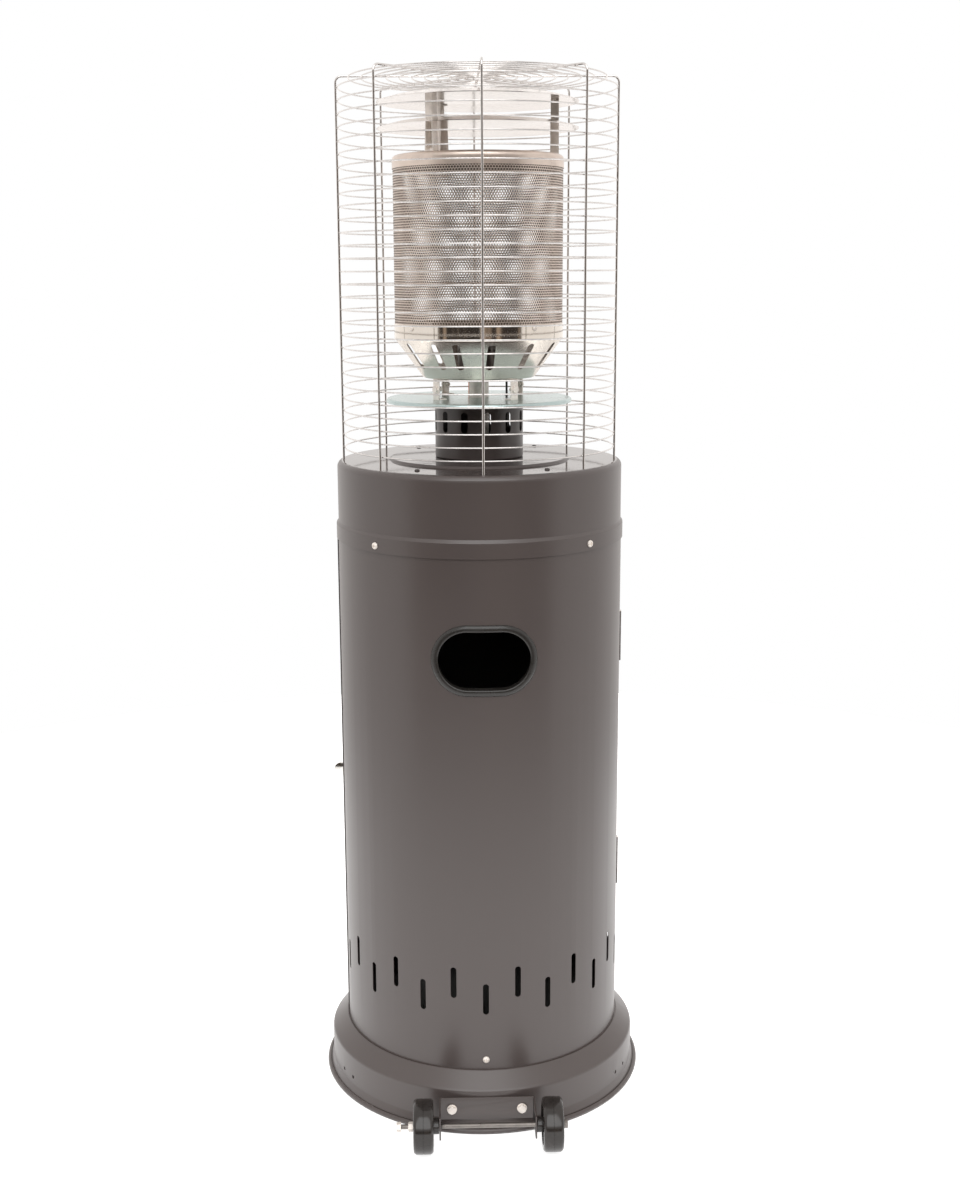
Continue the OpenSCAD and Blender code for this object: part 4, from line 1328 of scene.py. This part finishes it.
@dataclass
class Emitter:
    """The burner's neck, shield and bowl, and the perforated screen above them.

    Attributes:
        radius: The screen's outer radius in millimetres.
        sheet: The screen's thickness.
        foot: The height of the lowest row of holes.
        holes: The holes in a row, a multiple of the panels.
        rows: The rows of holes, an even number.
        panels: The sheets that the screen is rolled from.
        bridge: The metal left round a hole.
        stand_turns: The azimuths of the brackets and of the bowl's screws.
        tab_height: The height of the bolts in the brackets.
        tab_seats: The radii at which their heads and nuts sit.
        rim: The radius and height at which the bowl's rim has its screws.
    """

    radius: float = 111.1
    sheet: float = 0.7
    foot: float = 1045.0
    holes: int = 186
    rows: int = 66
    panels: int = 3
    bridge: float = 0.55
    stand_turns: tuple[float, ...] = (-52.0, 38.0, 128.0, 218.0)
    tab_height: float = 971.5
    tab_seats: Pair = (73.1, 71.3)
    rim: Pair = (112.1, 1051.0)

    def _screen(self) -> list[bpy.types.Object]:
        """Punches a flat sheet, rolls it to its share of the tube and copies it round.

        Returns:
            The sheets of the tube.
        """
        pitch = math.tau * self.radius / self.holes
        rise = pitch * math.sqrt(3) / 2
        Bench.clear()
        bpy.ops.mesh.primitive_circle_add(vertices=6, radius=pitch / math.sqrt(3) * MM, fill_type="NGON",
                                          location=(0, 0, self.foot * MM), rotation=(math.pi / 2, 0, 0))
        sheet = Bench.freeze()
        Bench.edit()
        bpy.ops.mesh.inset(thickness=self.bridge * MM)
        bpy.ops.mesh.delete(type="FACE")
        bpy.ops.mesh.select_all(action="SELECT")
        bpy.ops.mesh.duplicate_move(TRANSFORM_OT_translate={"value": (pitch / 2 * MM, 0, rise * MM)})
        Bench.close()
        for count, step in ((self.holes // self.panels, (pitch, 0, 0)), (self.rows // 2, (0, 0, 2 * rise))):
            Bench.apply("ARRAY", count=count, use_relative_offset=False, use_constant_offset=True,
                        constant_offset_displace=[part * MM for part in step])
        Bench.edit()
        bpy.ops.mesh.remove_doubles(threshold=0.02 * MM)
        Bench.close()
        ends = [vertex.co.x for vertex in sheet.data.vertices]
        bend = (max(ends) - min(ends)) / (self.radius * MM)
        Bench.apply("SIMPLE_DEFORM", deform_method="BEND", deform_axis="Z", angle=bend)
        Bench.seat(sheet, at(0, -self.radius, 0))
        Bench.apply("SOLIDIFY", thickness=self.sheet * MM, offset=-1.0, use_even_offset=False)
        made = []
        for panel in range(self.panels):
            copy = Bench.duplicate(sheet, f"screen_sheet_{panel + 1}")
            made.append(Bench.seat(copy, turn(360 * panel / self.panels, "Z")))
        bpy.data.objects.remove(sheet)
        return made

    def _tab_bolts(self) -> bpy.types.Object:
        """Makes the bolts through the brackets and their nuts.

        Returns:
            The joined bolts and nuts.
        """
        head = HexBolt(shank=2.4, length=9.0, head=4.6, height=3.0)
        nut = HexBolt(shank=2.4, length=0.3, head=4.6, height=3.0)
        rows = []
        for name, fixing, seat, tilt in zip(("tab_heads", "tab_nuts"), (head, nut), self.tab_seats, (0, 180)):
            places = [radial(azimuth, seat, self.tab_height) @ turn(tilt, "X")
                      for azimuth in self.stand_turns]
            rows.append(Bench.copies(name, fixing.build(), places))
        return Bench.joined("tab_bolts", rows)

    def build(self) -> None:
        """Makes the screen, the brackets and the screws."""
        for sheet in self._screen():
            settle(sheet, Coat.mesh_stainless, "emitter_screen")
        soften("stand_tabs", "shield_brackets", Coat.zinc, 0.35)
        settle(self._tab_bolts(), Coat.zinc, "shield_screws")
        screw = PanScrew(shank=2.0, length=9.0, head=3.4, height=2.0)
        places = [radial(azimuth, *self.rim) for azimuth in self.stand_turns]
        settle(Bench.copies("rim_screws", screw.build(), places), Coat.zinc, "bowl_screws")

    def dress(self) -> None:
        """Gives the carried-over pieces their finishes."""
        dress(Coat.dark_paint, "burner_neck")
        dress(Coat.zinc, "venturi_tube")
        dress(Coat.shield_metal, "heat_shield")
        dress(Coat.polished_stainless, "burner_bowl")
        dress(Coat.mesh_stainless, "emitter_cap")


@dataclass
class Reflectors:
    """The twin reflectors on their trestles and posts.

    Attributes:
        turns: The azimuths of the posts.
        circle: The distance of the screws from the axis, in millimetres.
        seats: The heights of the screws' seats.
        nut_seat: The height of the nuts' seat under the lower reflector.
    """

    turns: tuple[float, ...] = (-37.0, 87.0, 207.0)
    circle: float = 99.5
    seats: tuple[float, ...] = (1271.6, 1311.4, 1342.9)
    nut_seat: float = 1307.4

    def _screws(self) -> bpy.types.Object:
        """Makes the posts' screws and nuts.

        Returns:
            The joined screws and nuts.
        """
        screw = PanScrew(shank=2.0, length=6.5, head=3.4, height=2.0)
        nut = HexBolt(shank=2.0, length=0.3, head=3.4, height=2.0)
        above = [upright(azimuth, self.circle, seat) for azimuth in self.turns for seat in self.seats]
        under = [upright(azimuth, self.circle, self.nut_seat) @ turn(180, "X") for azimuth in self.turns]
        screws = Bench.copies("screws", screw.build(), above)
        nuts = Bench.copies("nuts", nut.build(), under)
        return Bench.joined("post_screws", [screws, nuts])

    def build(self) -> None:
        """Makes the trestles, the posts, their screws and nuts."""
        soften("bent_trestles", "reflector_trestles", Coat.zinc, 0.4)
        soften("angle_posts", "reflector_posts", Coat.zinc, 0.4)
        settle(self._screws(), Coat.zinc, "reflector_screws")

    def dress(self) -> None:
        """Gives the carried-over pieces their finishes."""
        dress(Coat.bright_aluminium, "reflector_lower", "reflector_upper")


@dataclass
class Guard:
    """The wire guard round the emitter.

    Attributes:
        ring: The middle radius of a ring and the radius of its wire, in millimetres.
        first: The height of the lowest ring.
        pitch: The spacing of the rings, up the side and across the top.
        count: The rings up the side.
        uprights: The upright wires.
        crossing: The radius at which rings and uprights meet.
        lid: The height at which the top's rings and spokes meet.
        lid_radius: The radius from which the top's rings are counted inwards.
        lid_count: The top's rings.
        butt: The radius of the weld that closes a ring.
        butt_turn: The degrees by which those welds are turned from an upright.
        nugget: The radius of the weld at a crossing.
    """

    ring: Pair = (180.2, 1.0)
    first: float = 893.0
    pitch: float = 16.45
    count: int = 29
    uprights: int = 8
    crossing: float = 181.25
    lid: float = 1366.95
    lid_radius: float = 182.8
    lid_count: int = 10
    butt: float = 1.25
    butt_turn: float = 17.0
    nugget: float = 1.35

    def _rings(self) -> bpy.types.Object:
        """Makes the rings up the side, each closed by a short butt weld.

        Returns:
            The joined rings.
        """
        major, minor = self.ring
        Bench.clear()
        bpy.ops.mesh.primitive_torus_add(major_radius=major * MM, minor_radius=minor * MM, major_segments=160,
                                         minor_segments=8)
        hoop = Bench.joined("hoop", [Bench.weld(60.0), Bench.bead(self.butt, (0, major, 0))])
        places = []
        for k in range(self.count):
            bay = k * 3 % self.uprights
            seam = self.butt_turn + 360 / self.uprights * bay
            places.append(at(0, 0, self.first + self.pitch * k) @ turn(seam, "Z"))
        return Bench.copies("hoop_wires", hoop, places)

    def _welds(self) -> bpy.types.Object:
        """Makes the flattened weld at each crossing.

        Returns:
            The joined welds.
        """
        nugget = Bench.bead(self.nugget, scale=(1, 1.2, 0.75))
        turns = [360 / self.uprights * k for k in range(self.uprights)]
        heights = [self.first + self.pitch * k for k in range(self.count)]
        radii = [self.lid_radius - self.pitch * k for k in range(1, self.lid_count + 1)]
        places = [radial(azimuth, self.crossing, height) for azimuth in turns for height in heights]
        places += [upright(azimuth, radius, self.lid) for azimuth in turns for radius in radii]
        return Bench.copies("spot_welds", nugget, places)

    def build(self) -> None:
        """Makes the rings and the welds."""
        settle(self._rings(), Coat.guard_wire, "guard_rings_lower", "guard_rings_upper")
        settle(self._welds(), Coat.guard_wire)

    def dress(self) -> None:
        """Gives the carried-over pieces their finishes."""
        dress(Coat.guard_wire, "guard_uprights", "guard_top")


# Studio

@dataclass
class Studio:
    """The floor, the soft light and the camera.

    Attributes:
        eye: The camera's place in metres.
        heading: Its turn about Z in degrees.
        pitch: Its tilt below the horizon in degrees.
        roll: Its roll in degrees.
        lens: Its focal length in millimetres.
        sensor: The long side of its picture in millimetres.
        clip: The nearest and farthest that it sees, in metres.
        floor_radius: The floor's radius in metres.
        floor_drop: How far the floor lies under the base, in metres.
        floor_tone: The floor's grey.
        glow: How brightly the floor shows beside its own light.
        glow_fade: The radii between which that fades in reflections.
        foot: The radii between which it starts, outside the base.
        walls: The light of the room's walls.
        far_wall: The light of the wall ahead of the camera.
        dark: The light of the doorway behind the camera.
        posts: The light of the posts in that doorway.
        window: The light of the window above the doorway.
        doorway_side: The slopes to either side between which the doorway ends.
        doorway_top: The rises between which it ends.
        window_side: The slopes to either side between which the window ends.
        window_foot: The rises between which it starts.
        window_top: The rises between which it ends.
    """

    eye: Point = (-0.0583, -2.0881, 1.1260)
    heading: float = -1.6
    pitch: float = 12.07
    roll: float = -0.28
    lens: float = 46.455
    sensor: float = 36.0
    clip: Pair = (0.05, 60.0)
    floor_radius: float = 2.0
    floor_drop: float = 0.0002
    floor_tone: float = 0.80
    glow: float = 0.72
    glow_fade: Pair = (0.9, 2.0)
    foot: Pair = (0.210, 0.216)
    walls: Colour = (1.0, 0.965, 0.94)
    far_wall: Colour = (1.12, 1.08, 1.05)
    dark: Colour = (0.045, 0.038, 0.034)
    posts: Colour = (0.38, 0.29, 0.22)
    window: Colour = (3.0, 3.0, 3.0)
    doorway_side: Pair = (1.5, 1.7)
    doorway_top: Pair = (0.14, 0.24)
    window_side: Pair = (0.56, 0.66)
    window_foot: Pair = (0.30, 0.36)
    window_top: Pair = (0.90, 0.95)

    def build(self) -> None:
        """Makes the floor, the world and the camera."""
        self._floor()
        self._world()
        self._camera()

    def _floor(self) -> None:
        """Lays a round pale floor just under the base."""
        Bench.clear()
        bpy.ops.mesh.primitive_circle_add(vertices=96, radius=self.floor_radius, fill_type="NGON",
                                          location=(0, 0, -self.floor_drop))
        floor = bpy.context.object
        floor.name = "floor"
        made = bpy.data.materials.new("pale_floor")
        made.use_nodes = True
        net = Net(made.node_tree)
        base = net.node("ShaderNodeBsdfDiffuse", None, {"Color": (*toned(WHITE, self.floor_tone), 1.0)})
        glow = net.node("ShaderNodeEmission", None, {"Color": (*WHITE, 1.0), "Strength": self.glow})
        across, along, _ = net.parts(net.place())
        radius = across.reach(along)
        mirrored = net.ray("Is Glossy Ray") * (1 - radius.ramp(*self.glow_fade))
        seen = net.ray("Is Camera Ray").larger(mirrored)
        lit = net.node("ShaderNodeAddShader", None, {0: base, 1: glow})
        both = net.node("ShaderNodeMixShader", None, {0: seen * radius.ramp(*self.foot), 1: base, 2: lit})
        net.node("ShaderNodeOutputMaterial", None, {"Surface": both})
        floor.data.materials.append(made)

    def _world(self) -> None:
        """A white room with a dim wide doorway behind the camera and a window light above it."""
        world = bpy.data.worlds.new("room")
        world.use_nodes = True
        bpy.context.scene.world = world
        net = Net(world.node_tree)
        across, along, up = net.parts(net.node("ShaderNodeTexCoord", output="Generated"))
        side = across / (0.0 - along).larger(0.001)
        aside = side.size()
        behind = along < 0.0
        doorway = (1 - aside.ramp(*self.doorway_side)) * (1 - up.ramp(*self.doorway_top)) * behind
        window = (1 - aside.ramp(*self.window_side)) * up.ramp(*self.window_foot)
        window = window * (1 - up.ramp(*self.window_top)) * behind
        dim = net.blend(net.streaks(side, 3.2, 1.0).ramp(0.5, 0.7), self.dark, self.posts)
        walls = net.blend(along.ramp(0.2, 0.8) * (1 - up.ramp(0.3, 0.7)), self.walls, self.far_wall)
        lit = net.blend(window, net.blend(doorway, walls, dim), self.window)
        colour = net.blend(net.ray("Is Camera Ray"), lit, WHITE)
        ground = net.node("ShaderNodeBackground", None, {"Color": colour, "Strength": 1.0})
        net.node("ShaderNodeOutputWorld", None, {"Surface": ground})

    def _camera(self) -> None:
        """Sets the camera at the photograph's angle."""
        data = bpy.data.cameras.new("camera")
        data.lens = self.lens
        data.sensor_width = self.sensor
        data.clip_start, data.clip_end = self.clip
        camera = bpy.data.objects.new("camera", data)
        bpy.context.scene.collection.objects.link(camera)
        camera.location = self.eye
        camera.rotation_mode = "QUATERNION"
        camera.rotation_quaternion = (Quaternion((0, 0, 1), math.radians(self.heading))
                                      @ Quaternion((1, 0, 0), math.radians(90 - self.pitch))
                                      @ Quaternion((0, 0, 1), math.radians(self.roll)))
        bpy.context.scene.camera = camera
        bpy.context.scene.view_settings.view_transform = "Standard"


def main() -> None:
    """Builds the sub-assemblies in order."""
    for part in (Running(), Housing(), ControlHood(), GasTrain(), Emitter(), Reflectors(), Guard()):
        part.build()
        part.dress()
    Studio().build()


if __name__ == "__main__":
    main()
